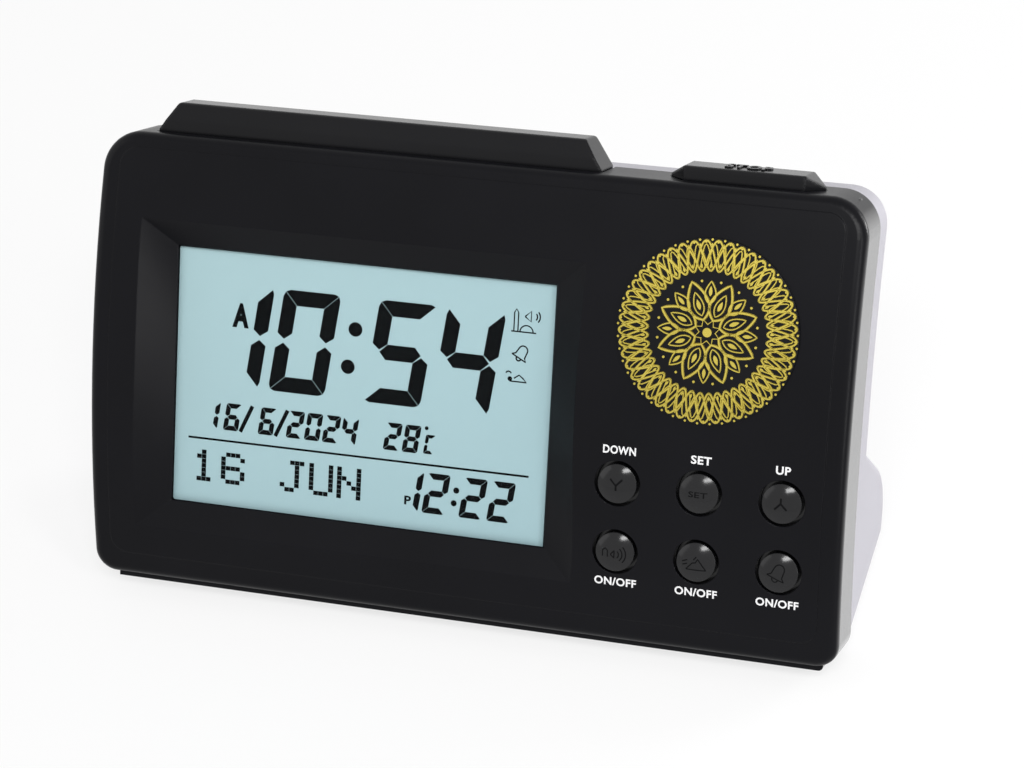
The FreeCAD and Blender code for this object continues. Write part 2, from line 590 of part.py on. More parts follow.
across(shell, "Pocket", "shell_trim", SHELL_WIDE, behind_shell)
SPEAKER = [("dim.speaker_x", "dim.speaker_z")]
slab(shell, "Pocket", "speaker_seat", "xz", "dim.speaker_seat - 2", "dim.speaker_seat",
     lambda s: circles(s, SPEAKER, "dim.speaker_radius + 0.2"))
slab(shell, "Pocket", "speaker_air", "xz", "dim.speaker_seat - 2", "dim.speaker_seat + 1",
     lambda s: circles(s, SPEAKER, "dim.speaker_radius - 1.2"))
start_z = value("-dim.bulge_start")
start_y = value(BULGE_Y)
rear_y = value("dim.bulge_rear")
shoulder_z = value(SHOULDER_Z)
foot_z = value(FOOT_Z)
round_edges(shell, "shell_top_corners", "dim.top_corner - dim.shell_inset",
            lambda p: abs(abs(p.x) - shell_x) < 0.01 and abs(p.z - shell_top) < 0.01)
round_edges(shell, "shell_low_corners", "dim.bottom_corner - dim.shell_inset",
            lambda p: abs(abs(p.x) - shell_x) < 0.01 and on_floor(p, wall_low, 0))
round_edges(shell, "bulge_shoulder", "dim.bulge_round",
            lambda p: abs(p.y - rear_y) < 0.01 and abs(p.z - shoulder_z) < 0.01)
round_edges(shell, "bulge_heel", "dim.bulge_foot",
            lambda p: abs(p.y - rear_y) < 0.01 and abs(p.z - foot_z) < 0.01)
back_radius = value(BACK)


def on_back_edge(p):
    away = ((p.y - centre_y) ** 2 + p.z ** 2) ** 0.5
    at_side = abs(p.x) > shell_x - 7.5 or abs(p.z - shell_top) < 0.01
    return abs(away - back_radius) < 0.01 and at_side and p.z > start_z - 0.01


round_edges(shell, "back_edge", "dim.back_round", on_back_edge)

# Screw holes, grille, feet seats and the battery door's opening
slab(shell, "Pocket", "screw_holes", "xz", "dim.boss_end", "dim.screw_seat + 1",
     lambda s: circles(s, CASE_SCREWS, "dim.screw_shaft + 0.25"))
slab(shell, "Pocket", "screw_sinks", "xz", "dim.screw_seat", "45",
     lambda s: circles(s, CASE_SCREWS, "dim.screw_head + 0.3"))


def grille(sketch):
    circles(sketch, SPEAKER, "dim.grille_hole")
    for ring, count in ((1, 6), (2, 12), (3, 18)):
        for n in range(count):
            turn = "%d*dim.grille_step*%s(%d/%d*360)"
            x = "dim.speaker_x + " + turn % (ring, "cos", n, count)
            z = "dim.speaker_z + " + turn % (ring, "sin", n, count)
            circles(sketch, [(x, z)], "dim.grille_hole")


slab(shell, "Pocket", "speaker_grille", "xz", "dim.speaker_seat", "22", grille)
FEET = [(side + "dim.foot_x", deep) for deep in ("dim.foot_front", "dim.foot_rear") for side in ("", "-")]
slab(shell, "Pocket", "foot_seats", "ground", "dim.foot_proud - 1", "dim.foot_proud + dim.foot_sunk",
     lambda s: circles(s, FEET, "dim.foot_radius + 0.1"))
slab(shell, "Pocket", "door_way", "ground", "dim.foot_proud - 1", "dim.foot_proud + dim.door_split + 0.1",
     lambda s: box(s, "-dim.door_half", "dim.door_half", "dim.door_front", "dim.door_rear + 6"))
slab(shell, "Pocket", "tongue_way", "ground", "dim.foot_proud + dim.door_split",
     "dim.foot_proud + dim.shell_wall + 0.05",
     lambda s: box(s, "-dim.door_half - dim.door_tongue", "dim.door_half + dim.door_tongue",
                   "dim.door_front", "dim.door_rear + 6"))

# Display: window, cell, frame, light guide, lamps and contact strip, one behind the other
FRAME_LEFT = "-dim.view_left - 3"
FRAME_RIGHT = "dim.view_right + 3"
FRAME_LOW = "-dim.view_bottom - 3"
FRAME_TOP = "dim.view_top + 3"
FRAME_WALL = "2.4"
WINDOW_FRONT = "dim.view_back + 0.1"
WINDOW_THICK = "0.8"
GLASS_FRONT = "dim.view_back + 1"
GLASS_THICK = "2.6"


def plate(label, low, high, draw, frame="face", plane="xz"):
    body = new_body(label, frame)
    slab(body, "Pad", label + "_plate", plane, low, high, draw)
    return body


def in_frame(sketch, room):
    box(sketch, "%s + %s" % (FRAME_LEFT, room), "%s - %s" % (FRAME_RIGHT, room),
        "%s + %s" % (FRAME_LOW, room), "%s - %s" % (FRAME_TOP, room))


plate("display_window", WINDOW_FRONT, WINDOW_FRONT + " + " + WINDOW_THICK, lambda s: in_frame(s, "0.2"))
plate("lcd_glass", GLASS_FRONT, GLASS_FRONT + " + " + GLASS_THICK, lambda s: in_frame(s, "0.25"))


def frame_ring(sketch):
    in_frame(sketch, "(-%s)" % FRAME_WALL)
    in_frame(sketch, "0")


plate("lcd_frame", "dim.view_back + dim.seat_gap", "dim.board_front - 0.1", frame_ring)
GUIDE_FRONT = "dim.view_back + 3.7"
GUIDE_RIGHT = "dim.view_right - 1.6"
plate("light_guide", GUIDE_FRONT, GUIDE_FRONT + " + 2.5",
      lambda s: box(s, "-dim.view_left + 0.4", GUIDE_RIGHT, "-dim.view_bottom + 1.6", "dim.view_top + 1"))


def lamps(sketch):
    for z in ("-18", "-2.5", "13"):
        box(sketch, GUIDE_RIGHT + " + 0.3", GUIDE_RIGHT + " + 2.3", z, z + " + 3")


plate("backlight_leds", GUIDE_FRONT + " + 0.2", "dim.board_front - dim.seat_gap", lamps)
plate("contact_strip", "dim.view_back + 3.65", "dim.board_front - dim.seat_gap",
      lambda s: box(s, "-55", "13", "-dim.view_bottom - 2.2", "-dim.view_bottom"))

# Circuit boards, with what is soldered to their backs
BOARD_BACK = "dim.board_front + dim.board_thick"
HOLE = "dim.small_shaft + 0.2"


def display_board_outline(sketch):
    box(sketch, "-60.5", "26", "-38.6", "32.3")
    circles(sketch, DISPLAY_POSTS, HOLE)


def key_board_outline(sketch):
    box(sketch, "27.6", "72.5", "-33.4", "-4.6")
    circles(sketch, KEY_POSTS, HOLE)


plate("display_board", "dim.board_front", BOARD_BACK, display_board_outline)
plate("key_board", "dim.board_front", BOARD_BACK, key_board_outline)
chip = plate("chip_cover", BOARD_BACK + " + dim.seat_gap", BOARD_BACK + " + 1.6",
             lambda s: circles(s, [("-20", "0")], "9"))
chip_back = value(BOARD_BACK + " + 1.6")
round_edges(chip, "chip_dome", "1.2", lambda p: abs(p.y - chip_back) < 0.01)
crystal = plate("crystal_can", BOARD_BACK + " + dim.seat_gap", BOARD_BACK + " + 3",
                lambda s: box(s, "-2", "6.4", "8", "11", "1.4"))
plate("capacitor", BOARD_BACK + " + dim.seat_gap", BOARD_BACK + " + 3.4",
      lambda s: circles(s, [("-40", "12")], "2"))

# Push switches behind the keys and under the bar and the stop button
SWITCH_FRONT = "dim.board_front - dim.seat_gap - dim.switch_tall"


def squares(sketch, centres):
    for x, z in centres:
        box(sketch, x + " - dim.switch_half", x + " + dim.switch_half",
            z + " - dim.switch_half", z + " + dim.switch_half")


key_switches = plate("key_switches", SWITCH_FRONT, "dim.board_front - dim.seat_gap",
                     lambda s: squares(s, KEYS))
slab(key_switches, "Pocket", "key_switch_bores", "xz", SWITCH_FRONT, SWITCH_FRONT + " + dim.switch_deep",
     lambda s: circles(s, KEYS, "dim.switch_bore"))
TOP_BOARD_TOP = "dim.top_board_low + dim.top_board_thick"
SWITCH_FOOT = TOP_BOARD_TOP + " + dim.seat_gap"
SWITCH_TOP = SWITCH_FOOT + " + dim.switch_tall"
top_switches = plate("top_switches", SWITCH_FOOT, SWITCH_TOP,
                     lambda s: squares(s, BAR_STEMS + STOP_STEM), plane="xy")
slab(top_switches, "Pocket", "top_switch_bores", "xy", SWITCH_TOP + " - dim.switch_deep", SWITCH_TOP,
     lambda s: circles(s, BAR_STEMS + STOP_STEM, "dim.switch_bore"))


def top_board_outline(sketch):
    box(sketch, "-71.8", "71.8", "3.9", "12.6")
    circles(sketch, TOP_POSTS, HOLE)


plate("top_board", "dim.top_board_low", TOP_BOARD_TOP, top_board_outline, plane="xy")

# Keys: cap, flange and stem turned in one piece, each placed at its own hole
NAMES = ["down_button", "set_button", "up_button", "sound_button", "snooze_button", "alarm_button"]
for label, (x, z) in zip(NAMES, KEYS):
    key = new_body(label, "own")
    lean_back(key, x, z)
    flange = "dim.upper_flange" if "upper" in z else "dim.lower_flange"
    flange_back = flange + " + dim.key_flange_thick"
    edge = arc_y(FACE, z) + " - dim.key_proud"
    tip = SWITCH_FRONT + " + dim.stem_in"
    dome = "(dim.key_cap^2 + dim.key_dome^2)/(2*dim.key_dome)"
    corners = [("0", edge + " - dim.key_dome"), ("0", tip), ("dim.key_stem", tip),
               ("dim.key_stem", flange_back), ("dim.key_flange", flange_back), ("dim.key_flange", flange),
               ("dim.key_cap", flange), ("dim.key_cap", edge)]
    turned(key, label + "_turned", corners, [(7, dome, "right")])

# Light bar: a hollow cap with sloped ends, a flange under the top wall and two stems
bar = new_body("light_bar")
FLANGE_LOW = "dim.push_flange_top - dim.push_flange_thick"


def bar_profile(sketch):
    loop(sketch, [("dim.bar_front", FLANGE_LOW), ("dim.bar_rear", FLANGE_LOW),
                  ("dim.bar_rear", "dim.bar_top"), ("dim.bar_front + dim.bar_lean", "dim.bar_top"),
                  ("dim.bar_front", "dim.bar_facet")])


bar_side = sketch_at(bar, "bar_side", "yz", "-dim.bar_left")
bar_profile(bar_side)
feature(bar, "Pad", "bar_body", bar_side, "dim.bar_left + dim.bar_right", along=False)


def bar_ends(sketch):
    high = "dim.bar_top + 1"
    run = "dim.bar_end_run*(1 + 1/(dim.bar_top - dim.face_top - 0.4))"
    loop(sketch, [("-dim.bar_left - 2", high), ("-dim.bar_left - 2", "dim.face_top + 0.4"),
                  ("-dim.bar_left", "dim.face_top + 0.4"), ("-dim.bar_left + " + run, high)])
    loop(sketch, [("dim.bar_right + 2", high), ("dim.bar_right - " + run, high),
                  ("dim.bar_right", "dim.face_top + 0.4"), ("dim.bar_right + 2", "dim.face_top + 0.4")])


slab(bar, "Pocket", "bar_slopes", "xz", "0", "20", bar_ends)
bar_top = value("dim.bar_top")
round_edges(bar, "bar_top_edges", "dim.bar_round", lambda p: abs(p.z - bar_top) < 0.01)
slab(bar, "Pad", "bar_flange", "xy", FLANGE_LOW, "dim.push_flange_top",
     lambda s: box(s, "-dim.bar_left - dim.push_flange_side", "dim.bar_right + dim.push_flange_side",
                   "dim.push_flange_front", "dim.push_flange_rear"))
slab(bar, "Pocket", "bar_inside", "xy", FLANGE_LOW, "dim.bar_top - 1.6",
     lambda s: box(s, "-dim.bar_left + 4", "dim.bar_right - 4", "dim.bar_front + 1.8",
                   "dim.bar_rear - 1.6"))
slab(bar, "Pad", "bar_stems", "xy", SWITCH_TOP + " - dim.stem_in", "dim.bar_top - 1.5",
     lambda s: circles(s, BAR_STEMS, "dim.key_stem"))

# Stop button: pointed at both ends and sloped down to its points
stop = new_body("stop_button")
slab(stop, "Pad", "stop_body", "xy", FLANGE_LOW, "dim.stop_top", lambda s: stop_outline(s, "0", None))


def stop_slopes(sketch):
    high = "dim.stop_top + 1"
    run = "dim.stop_point*(1 + 1/(dim.stop_top - dim.stop_edge))"
    loop(sketch, [("dim.stop_left - 1", high), ("dim.stop_left - 1", "dim.stop_edge"),
                  ("dim.stop_left", "dim.stop_edge"), ("dim.stop_left + " + run, high)])
    loop(sketch, [("dim.stop_right + 1", high), ("dim.stop_right - " + run, high),
                  ("dim.stop_right", "dim.stop_edge"), ("dim.stop_right + 1", "dim.stop_edge")])


slab(stop, "Pocket", "stop_slope_cut", "xz", "0", "20", stop_slopes)
stop_top = value("dim.stop_top")
stop_sides = (value("dim.stop_front"), value("dim.stop_rear"))
round_edges(stop, "stop_edges", "0.8",
            lambda p: abs(p.z - stop_top) < 0.01 and min(abs(p.y - side) for side in stop_sides) < 0.01)
slab(stop, "Pad", "stop_flange", "xy", FLANGE_LOW, "dim.push_flange_top",
     lambda s: box(s, "dim.stop_left - dim.push_flange_side", "dim.stop_right + dim.push_flange_side",
                   "dim.push_flange_front", "dim.push_flange_rear"))
slab(stop, "Pad", "stop_stem", "xy", SWITCH_TOP + " - dim.stem_in", FLANGE_LOW,
     lambda s: circles(s, STOP_STEM, "dim.key_stem"))

# Medallion: a thin round plate bent to the face
medal = new_body("medallion")
MEDAL_TOP = "dim.medal_z + dim.medal_radius + 1"
MEDAL_LOW = "dim.medal_z - dim.medal_radius - 1"
MEDAL_BACK = "dim.face_radius + 0.02"
MEDAL_FRONT = "dim.face_radius + 0.02 + dim.medal_thick"
medal_side = sketch_at(medal, "medal_side", "yz", "dim.medal_x - dim.medal_radius - 1")
loop(medal_side, [(arc_y(MEDAL_FRONT, MEDAL_TOP), MEDAL_TOP), (arc_y(MEDAL_BACK, MEDAL_TOP), MEDAL_TOP),
                  (arc_y(MEDAL_BACK, MEDAL_LOW), MEDAL_LOW), (arc_y(MEDAL_FRONT, MEDAL_LOW), MEDAL_LOW)],
     [(1, MEDAL_BACK, "left"), (3, MEDAL_FRONT, "right")])
feature(medal, "Pad", "medal_band", medal_side, "2*dim.medal_radius + 2", along=False)


def round_medal(sketch):
    reach = "dim.medal_radius + 3"
    box(sketch, "dim.medal_x - (%s)" % reach, "dim.medal_x + " + reach,
        "dim.medal_z - (%s)" % reach, "dim.medal_z + " + reach)
    circles(sketch, [("dim.medal_x", "dim.medal_z")], "dim.medal_radius")


slab(medal, "Pocket", "medal_round", "xz", "-8", "4", round_medal)

# Speaker: basket and cone, facing the grille
basket = new_body("speaker_basket", "own")
lean_back(basket, "dim.speaker_x", "dim.speaker_z")
RIM_BACK = "dim.speaker_seat - dim.seat_gap"
turned(basket, "basket_turned",
       [("0", "dim.speaker_seat - 7.6"), ("9", "dim.speaker_seat - 7.6"), ("9", "dim.speaker_seat - 4"),
        ("10.4", "dim.speaker_seat - 4"), ("15", "dim.speaker_seat - 1"),
        ("dim.speaker_radius", "dim.speaker_seat - 1"), ("dim.speaker_radius", RIM_BACK),
        ("dim.speaker_radius - 1.4", RIM_BACK), ("9.6", "dim.speaker_seat - 3.3"),
        ("0", "dim.speaker_seat - 3.3")])
cone = new_body("speaker_cone", "own")
lean_back(cone, "dim.speaker_x", "dim.speaker_z")
turned(cone, "cone_turned",
       [("0", "dim.speaker_seat - 1.7"), ("4.5", "dim.speaker_seat - 2.6"), ("13.9", "dim.speaker_seat - 0.5"),
        ("13.9", "dim.speaker_seat - 0.1"), ("4.5", "dim.speaker_seat - 2.2"), ("0", "dim.speaker_seat - 1.3")])

# Battery tray, cells, contacts and door, drawn in the standing frame
FLOOR = "dim.foot_proud + dim.shell_wall + dim.seat_gap"
TRAY_REACH = "(dim.cell_pitch/2 + dim.cell_radius + 0.2)"
tray = new_body("battery_tray", "standing")
slab(tray, "Pad", "tray_box", "xy", FLOOR, "dim.tray_roof + dim.tray_wall",
     lambda s: box(s, "-dim.tray_half - dim.tray_wall", "dim.tray_half + dim.tray_wall",
                   "dim.cell_y - %s - dim.tray_wall" % TRAY_REACH,
                   "dim.cell_y + %s + dim.tray_wall" % TRAY_REACH))
slab(tray, "Pad", "tray_flange", "xy", FLOOR, FLOOR + " + 1",
     lambda s: box(s, "-dim.tray_half - 8", "dim.tray_half + 8", "dim.cell_y - %s - 2.4" % TRAY_REACH,
                   "dim.cell_y + %s + dim.tray_wall" % TRAY_REACH))
slab(tray, "Pocket", "tray_inside", "xy", FLOOR, "dim.tray_roof",
     lambda s: box(s, "-dim.tray_half", "dim.tray_half", "dim.cell_y - " + TRAY_REACH,
                   "dim.cell_y + " + TRAY_REACH))
CELLS = [("dim.cell_y - dim.cell_pitch/2", "dim.cell_z"), ("dim.cell_y + dim.cell_pitch/2", "dim.cell_z")]
cells = new_body("battery_cells", "standing")
slab(cells, "Pad", "cell_cans", "yz", "-dim.cell_long/2", "dim.cell_long/2 - 0.9",
     lambda s: circles(s, CELLS, "dim.cell_radius"))
slab(cells, "Pad", "cell_nubs", "yz", "dim.cell_long/2 - 0.9", "dim.cell_long/2",
     lambda s: circles(s, CELLS, "1.9"))
contacts = new_body("battery_contacts", "standing")


def contact_strips(sketch):
    thick = "dim.contact_thick"
    outer = "dim.tray_half - dim.seat_gap"
    tip = "dim.cell_long/2 + dim.seat_gap + dim.contact_thick"
    loop(sketch, [(outer, "dim.cell_y - 9"), (outer, "dim.cell_y + 9"),
                  ("%s - %s" % (outer, thick), "dim.cell_y + 9"), ("%s - %s" % (outer, thick), "dim.cell_y - 9")])
    for across_text, height in CELLS:
        loop(sketch, [("-(%s)" % outer, across_text + " - 4"), ("-(%s)" % tip, across_text),
                      ("-(%s)" % outer, across_text + " + 4"),
                      ("-(%s) + 0.1" % outer, across_text + " + 4.4"),
                      ("-(%s) + %s" % (tip, thick), across_text),
                      ("-(%s) + 0.1" % outer, across_text + " - 4.4")])


slab(contacts, "Pad", "contact_strips", "xy", "dim.cell_z - 3", "dim.cell_z + 3", contact_strips)
door = new_body("battery_door", "standing")
slab(door, "Pad", "door_plate", "xy", "dim.foot_proud", "dim.foot_proud + dim.door_split + 0.1",
     lambda s: box(s, "-dim.door_half + dim.door_gap", "dim.door_half - dim.door_gap",
                   "dim.door_front + dim.door_gap", "dim.door_rear"))
slab(door, "Pad", "door_tongues", "xy", "dim.foot_proud + dim.door_split + dim.seat_gap",
     "dim.foot_proud + dim.shell_wall - dim.seat_gap",
     lambda s: box(s, "-dim.door_half - dim.door_tongue + dim.door_gap",
                   "dim.door_half + dim.door_tongue - dim.door_gap", "dim.door_front + dim.door_gap",
                   "dim.door_rear - 1"))


def door_grips(sketch):
    for n in range(4):
        deep = "dim.door_rear - %d" % (3 + 2 * n)
        box(sketch, "-9", "9", deep + " - 1", deep)


slab(door, "Pocket", "door_grips", "xy", "dim.foot_proud", "dim.foot_proud + 0.5", door_grips)

# Screws and feet, each kind as one group
case_screws = new_body("case_screws")
slab(case_screws, "Pad", "case_shafts", "xz", "dim.screw_seat - dim.screw_long", "dim.screw_seat + 0.1",
     lambda s: circles(s, CASE_SCREWS, "dim.screw_shaft"))
slab(case_screws, "Pad", "case_heads", "xz", "dim.screw_seat + dim.seat_gap",
     "dim.screw_seat + dim.screw_head_tall", lambda s: circles(s, CASE_SCREWS, "dim.screw_head"))


def crosses(sketch, centres, arm):
    half = "%s/5" % arm
    for x, z in centres:
        corners = [("-", arm, "-", half), ("-", half, "-", half), ("-", half, "-", arm), ("+", half, "-", arm),
                   ("+", half, "-", half), ("+", arm, "-", half), ("+", arm, "+", half), ("+", half, "+", half),
                   ("+", half, "+", arm), ("-", half, "+", arm), ("-", half, "+", half), ("-", arm, "+", half)]
        loop(sketch, [("%s %s %s" % (x, a, b), "%s %s %s" % (z, c, d)) for a, b, c, d in corners])


slab(case_screws, "Pocket", "case_crosses", "xz", "dim.screw_seat + dim.screw_head_tall - 1",
     "dim.screw_seat + dim.screw_head_tall", lambda s: crosses(s, CASE_SCREWS, "1.7"))
board_screws = new_body("board_screws")
POSTS = DISPLAY_POSTS + KEY_POSTS
slab(board_screws, "Pad", "board_shafts", "xz", BOARD_SCREW_TIP, BOARD_BACK + " + 0.2",
     lambda s: circles(s, POSTS, "dim.small_shaft"))
slab(board_screws, "Pad", "board_heads", "xz", BOARD_BACK + " + dim.seat_gap",
     BOARD_BACK + " + dim.small_head_tall", lambda s: circles(s, POSTS, "dim.small_head"))
slab(board_screws, "Pocket", "board_crosses", "xz", BOARD_BACK + " + dim.small_head_tall - 0.7",
     BOARD_BACK + " + dim.small_head_tall", lambda s: crosses(s, POSTS, "1.1"))
top_screws = new_body("top_board_screws")
slab(top_screws, "Pad", "top_shafts", "xy", "dim.top_board_low - 0.2", "dim.top_board_low + dim.small_long",
     lambda s: circles(s, TOP_POSTS, "dim.small_shaft"))
slab(top_screws, "Pad", "top_heads", "xy", "dim.top_board_low - dim.small_head_tall",
     "dim.top_board_low - dim.seat_gap", lambda s: circles(s, TOP_POSTS, "dim.small_head"))
slab(top_screws, "Pocket", "top_crosses", "xy", "dim.top_board_low - dim.small_head_tall",
     "dim.top_board_low - dim.small_head_tall + 0.7", lambda s: crosses(s, TOP_POSTS, "1.1"))
feet = plate("rubber_feet", "0", "dim.foot_proud + dim.foot_sunk - dim.seat_gap",
             lambda s: circles(s, FEET, "dim.foot_radius"), "standing", "xy")
round_edges(feet, "feet_edges", "0.4", lambda p: abs(p.z) < 0.01)

# Check, then write one file per node
doc.recompute()
for made in doc.Objects:
    if "Invalid" in made.State or "Error" in made.State:
        raise RuntimeError("%s failed: %s" % (made.Name, made.State))
os.makedirs("parts", exist_ok=True)
for body in NODES:
    if body.Shape.isNull() or not body.Shape.isValid():
        raise RuntimeError("%s is not a sound solid" % body.Label)
for body in NODES:
    body.Shape.exportStep("parts/%s.step" % body.Label)
    size = body.Shape.BoundBox
    print("%-18s %2d solids %9.1f mm3  y %6.2f..%6.2f  z %6.2f..%6.2f" % (
        body.Label, len(body.Shape.Solids), body.Shape.Volume, size.YMin, size.YMax, size.ZMin, size.ZMax))
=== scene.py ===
# %% [markdown]
# # Dressing a digital prayer alarm clock
# The clock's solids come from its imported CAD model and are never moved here. This lesson adds what
# the solids leave open: the picture on the display, the words beside the keys, a gold relief, and
# a finish for each surface. Everything is in metres, in the frame of the solids.

# %% Load the solids
import math

import bmesh
import bpy
from mathutils import Matrix, Vector


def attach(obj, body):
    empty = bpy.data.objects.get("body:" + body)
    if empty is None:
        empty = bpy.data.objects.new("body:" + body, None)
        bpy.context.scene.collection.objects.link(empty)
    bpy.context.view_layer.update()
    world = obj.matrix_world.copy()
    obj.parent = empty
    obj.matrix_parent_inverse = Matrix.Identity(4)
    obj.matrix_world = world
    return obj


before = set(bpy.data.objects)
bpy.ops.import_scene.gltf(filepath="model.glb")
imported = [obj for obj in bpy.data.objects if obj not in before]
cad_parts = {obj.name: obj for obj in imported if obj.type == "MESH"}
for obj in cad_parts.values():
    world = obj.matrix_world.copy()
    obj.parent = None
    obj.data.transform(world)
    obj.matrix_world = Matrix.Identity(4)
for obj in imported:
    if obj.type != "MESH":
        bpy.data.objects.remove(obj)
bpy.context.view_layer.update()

# %% [markdown]
# ## The face's own frame
# The clock leans back, so nothing on its face is level. It could all be drawn upright and turned
# at the end, but then nothing would meet the solids while it is made. Here a point is given as the
# maker would give it, in mm: x to the right, y into the face, z up the face. One function turns it
# into a point of the room.

# %% From the face's frame to the room
MM = 0.001
LEAN = math.radians(28)
# The face's origin lies this far over the floor and, as a minus, in front of the middle, in mm
STAND = 45.067
SHIFT_BACK = -9.895
# The face is part of a drum that lies along x, with its axis this far behind the origin
FACE_RADIUS = 200.0
FACE_CENTRE = 195.5


def room(x, y, z):
    """A point of the face's frame, in mm, as a point of the room, in metres."""
    back = y * math.cos(LEAN) + z * math.sin(LEAN) + SHIFT_BACK
    up = z * math.cos(LEAN) - y * math.sin(LEAN) + STAND
    return Vector((x, back, up)) * MM


def curve_depth(z, radius=FACE_RADIUS):
    """How deep the curved face lies at height z."""
    return FACE_CENTRE - math.sqrt(radius ** 2 - z ** 2)


print("middle of the face:", tuple(round(value, 4) for value in room(0, curve_depth(0), 0)))

# %% [markdown]
# ## Shader sums as Python
# A finish is worked out from patterns: clouds, specks, worn edges. Each step of such a sum is a
# Math node, and wiring them by hand hides the sum. A small class that wraps a socket lets Python's
# own operators add the nodes, so a line such as 1 - mask is the shader.

# %% A socket that takes part in sums
class Wire:
    """The value that leaves a socket."""

    def __init__(self, bench, socket):
        self.bench, self.socket = bench, socket

    def _math(self, operation, first, second, clamp=False):
        settings = {"operation": operation, "use_clamp": clamp}
        return self.bench.node("ShaderNodeMath", settings, {0: first, 1: second})

    def __add__(self, other):
        return self._math("ADD", self, other)

    def __sub__(self, other):
        return self._math("SUBTRACT", self, other)

    def __rsub__(self, other):
        return self._math("SUBTRACT", other, self)

    def __mul__(self, other):
        return self._math("MULTIPLY", self, other)

    def __truediv__(self, other):
        return self._math("DIVIDE", self, other)

    def __rtruediv__(self, other):
        return self._math("DIVIDE", other, self)

    __radd__ = __add__
    __rmul__ = __mul__

    def clip(self):
        """The value held between 0 and 1."""
        return self._math("ADD", self, 0.0, clamp=True)

    def band(self, low, high):
        """0 below low, 1 above high, and a slope between them."""
        return ((self - low) / (high - low)).clip()

    def wave(self):
        """The sine of the value."""
        return self._math("SINE", self, 0.0)


print("sums ready")

# %% [markdown]
# ## A bench for nodes
# Any other node comes from one method: its type, then its settings, then what goes into its
# sockets. A finish is such a bench with a Principled shader on it. Sizes of patterns are given in
# mm, since object coordinates are in metres and a grain of 0.4 mm should stay one.

# %% The bench and the finish
class Bench:
    """A node tree to work on."""

    def __init__(self, tree):
        self.tree = tree

    def feed(self, socket, value):
        if isinstance(value, Wire):
            self.tree.links.new(value.socket, socket)
        elif isinstance(value, tuple) and socket.type == "RGBA":
            socket.default_value = (*value, 1.0)
        else:
            socket.default_value = value

    def node(self, kind, settings=None, sockets=None, out=0):
        made = self.tree.nodes.new(kind)
        for name, value in (settings or {}).items():
            setattr(made, name, value)
        for name, value in (sockets or {}).items():
            self.feed(made.inputs[name], value)
        return Wire(self, made.outputs[out])

    def mix(self, mask, first, second):
        """The first colour where the mask is 0 and the second where it is 1."""
        return self.node("ShaderNodeMix", {"data_type": "RGBA"}, {0: mask, 6: first, 7: second}, 2)


class Finish(Bench):
    """A material with its patterns in mm."""

    def __init__(self, name):
        self.material = bpy.data.materials.new(name)
        self.material.use_nodes = True
        super().__init__(self.material.node_tree)
        self.shader = self.tree.nodes["Principled BSDF"]
        self.spot = self.node("ShaderNodeTexCoord", out=3)

    def set(self, **sockets):
        for name, value in sockets.items():
            self.feed(self.shader.inputs[name.replace("_", " ")], value)
        return self

    def stretched(self, x, y, z):
        settings = {"operation": "MULTIPLY"}
        return self.node("ShaderNodeVectorMath", settings, {0: self.spot, 1: (x, y, z)})

    def axis(self, index):
        """One coordinate of the spot, in mm: 0 across, 1 back, 2 up."""
        return self.node("ShaderNodeSeparateXYZ", None, {0: self.spot}, index) * 1000.0

    def clouds(self, size, detail=2.0, spot=None):
        """Soft values from 0 to 1 in blobs of about that size."""
        sockets = {"Vector": spot or self.spot, "Scale": 1000.0 / size, "Detail": detail}
        return self.node("ShaderNodeTexNoise", None, sockets)

    def flakes(self, size):
        """A value of its own for each small cell."""
        sockets = {"Vector": self.spot, "Scale": 1000.0 / size}
        colour = self.node("ShaderNodeTexVoronoi", None, sockets, 1)
        return self.node("ShaderNodeSeparateXYZ", None, {0: colour}, 0)

    def rounded(self, radius):
        """The surface's direction as if its edges were rounded."""
        return self.node("ShaderNodeBevel", {"samples": 4}, {"Radius": radius * MM})

    def edges(self, rounded):
        """1 on an edge and 0 on the flat, from how far the rounding turns the surface."""
        flat = self.node("ShaderNodeNewGeometry", out=1)
        settings = {"operation": "DOT_PRODUCT"}
        alike = self.node("ShaderNodeVectorMath", settings, {0: rounded, 1: flat}, 1)
        return ((1 - alike) * 8.0).clip()

    def bump(self, height, depth, normal=None):
        sockets = {"Height": height, "Distance": depth * MM}
        if normal is not None:
            sockets["Normal"] = normal
        return self.node("ShaderNodeBump", None, sockets)


print("bench ready")

# %% [markdown]
# ## Moulded plastic
# Nearly all of the case is injection-moulded plastic. It is not one even colour: the steel mould
# leaves a fine grain, the melt leaves faint clouds, and hands polish the edges. One recipe with a
# few numbers serves every moulding. The Bevel node gives the small edge radius that a CAD mesh is
# too coarse to carry. The case's flanks were flat and polished in the mould, so they carry a
# smoother skin, a coat, that its curved front lacks.

# %% The recipe for mouldings
def scaled(colour, factor):
    return tuple(min(1.0, value * factor) for value in colour)


def moulded(name, colour, rough, shine=0.5, grain=0.006, edge=0.25):
    """Grained plastic with faint clouds and edges polished by use."""
    finish = Finish(name)
    cloud = finish.clouds(26.0)
    speck = finish.clouds(0.4, 3.0)
    rounded = finish.rounded(edge)
    worn = finish.edges(rounded)
    base = finish.mix(cloud.band(0.35, 0.65), scaled(colour, 0.9), scaled(colour, 1.1))
    base = finish.mix(worn * 0.3, base, scaled(colour, 1.9))
    roughness = rough + (cloud - 0.5) * 0.12 + (speck - 0.5) * 0.08 - worn * 0.06
    finish.set(Base_Color=base, Roughness=roughness, Specular_IOR_Level=shine)
    return finish.set(Normal=finish.bump(speck, grain, rounded))


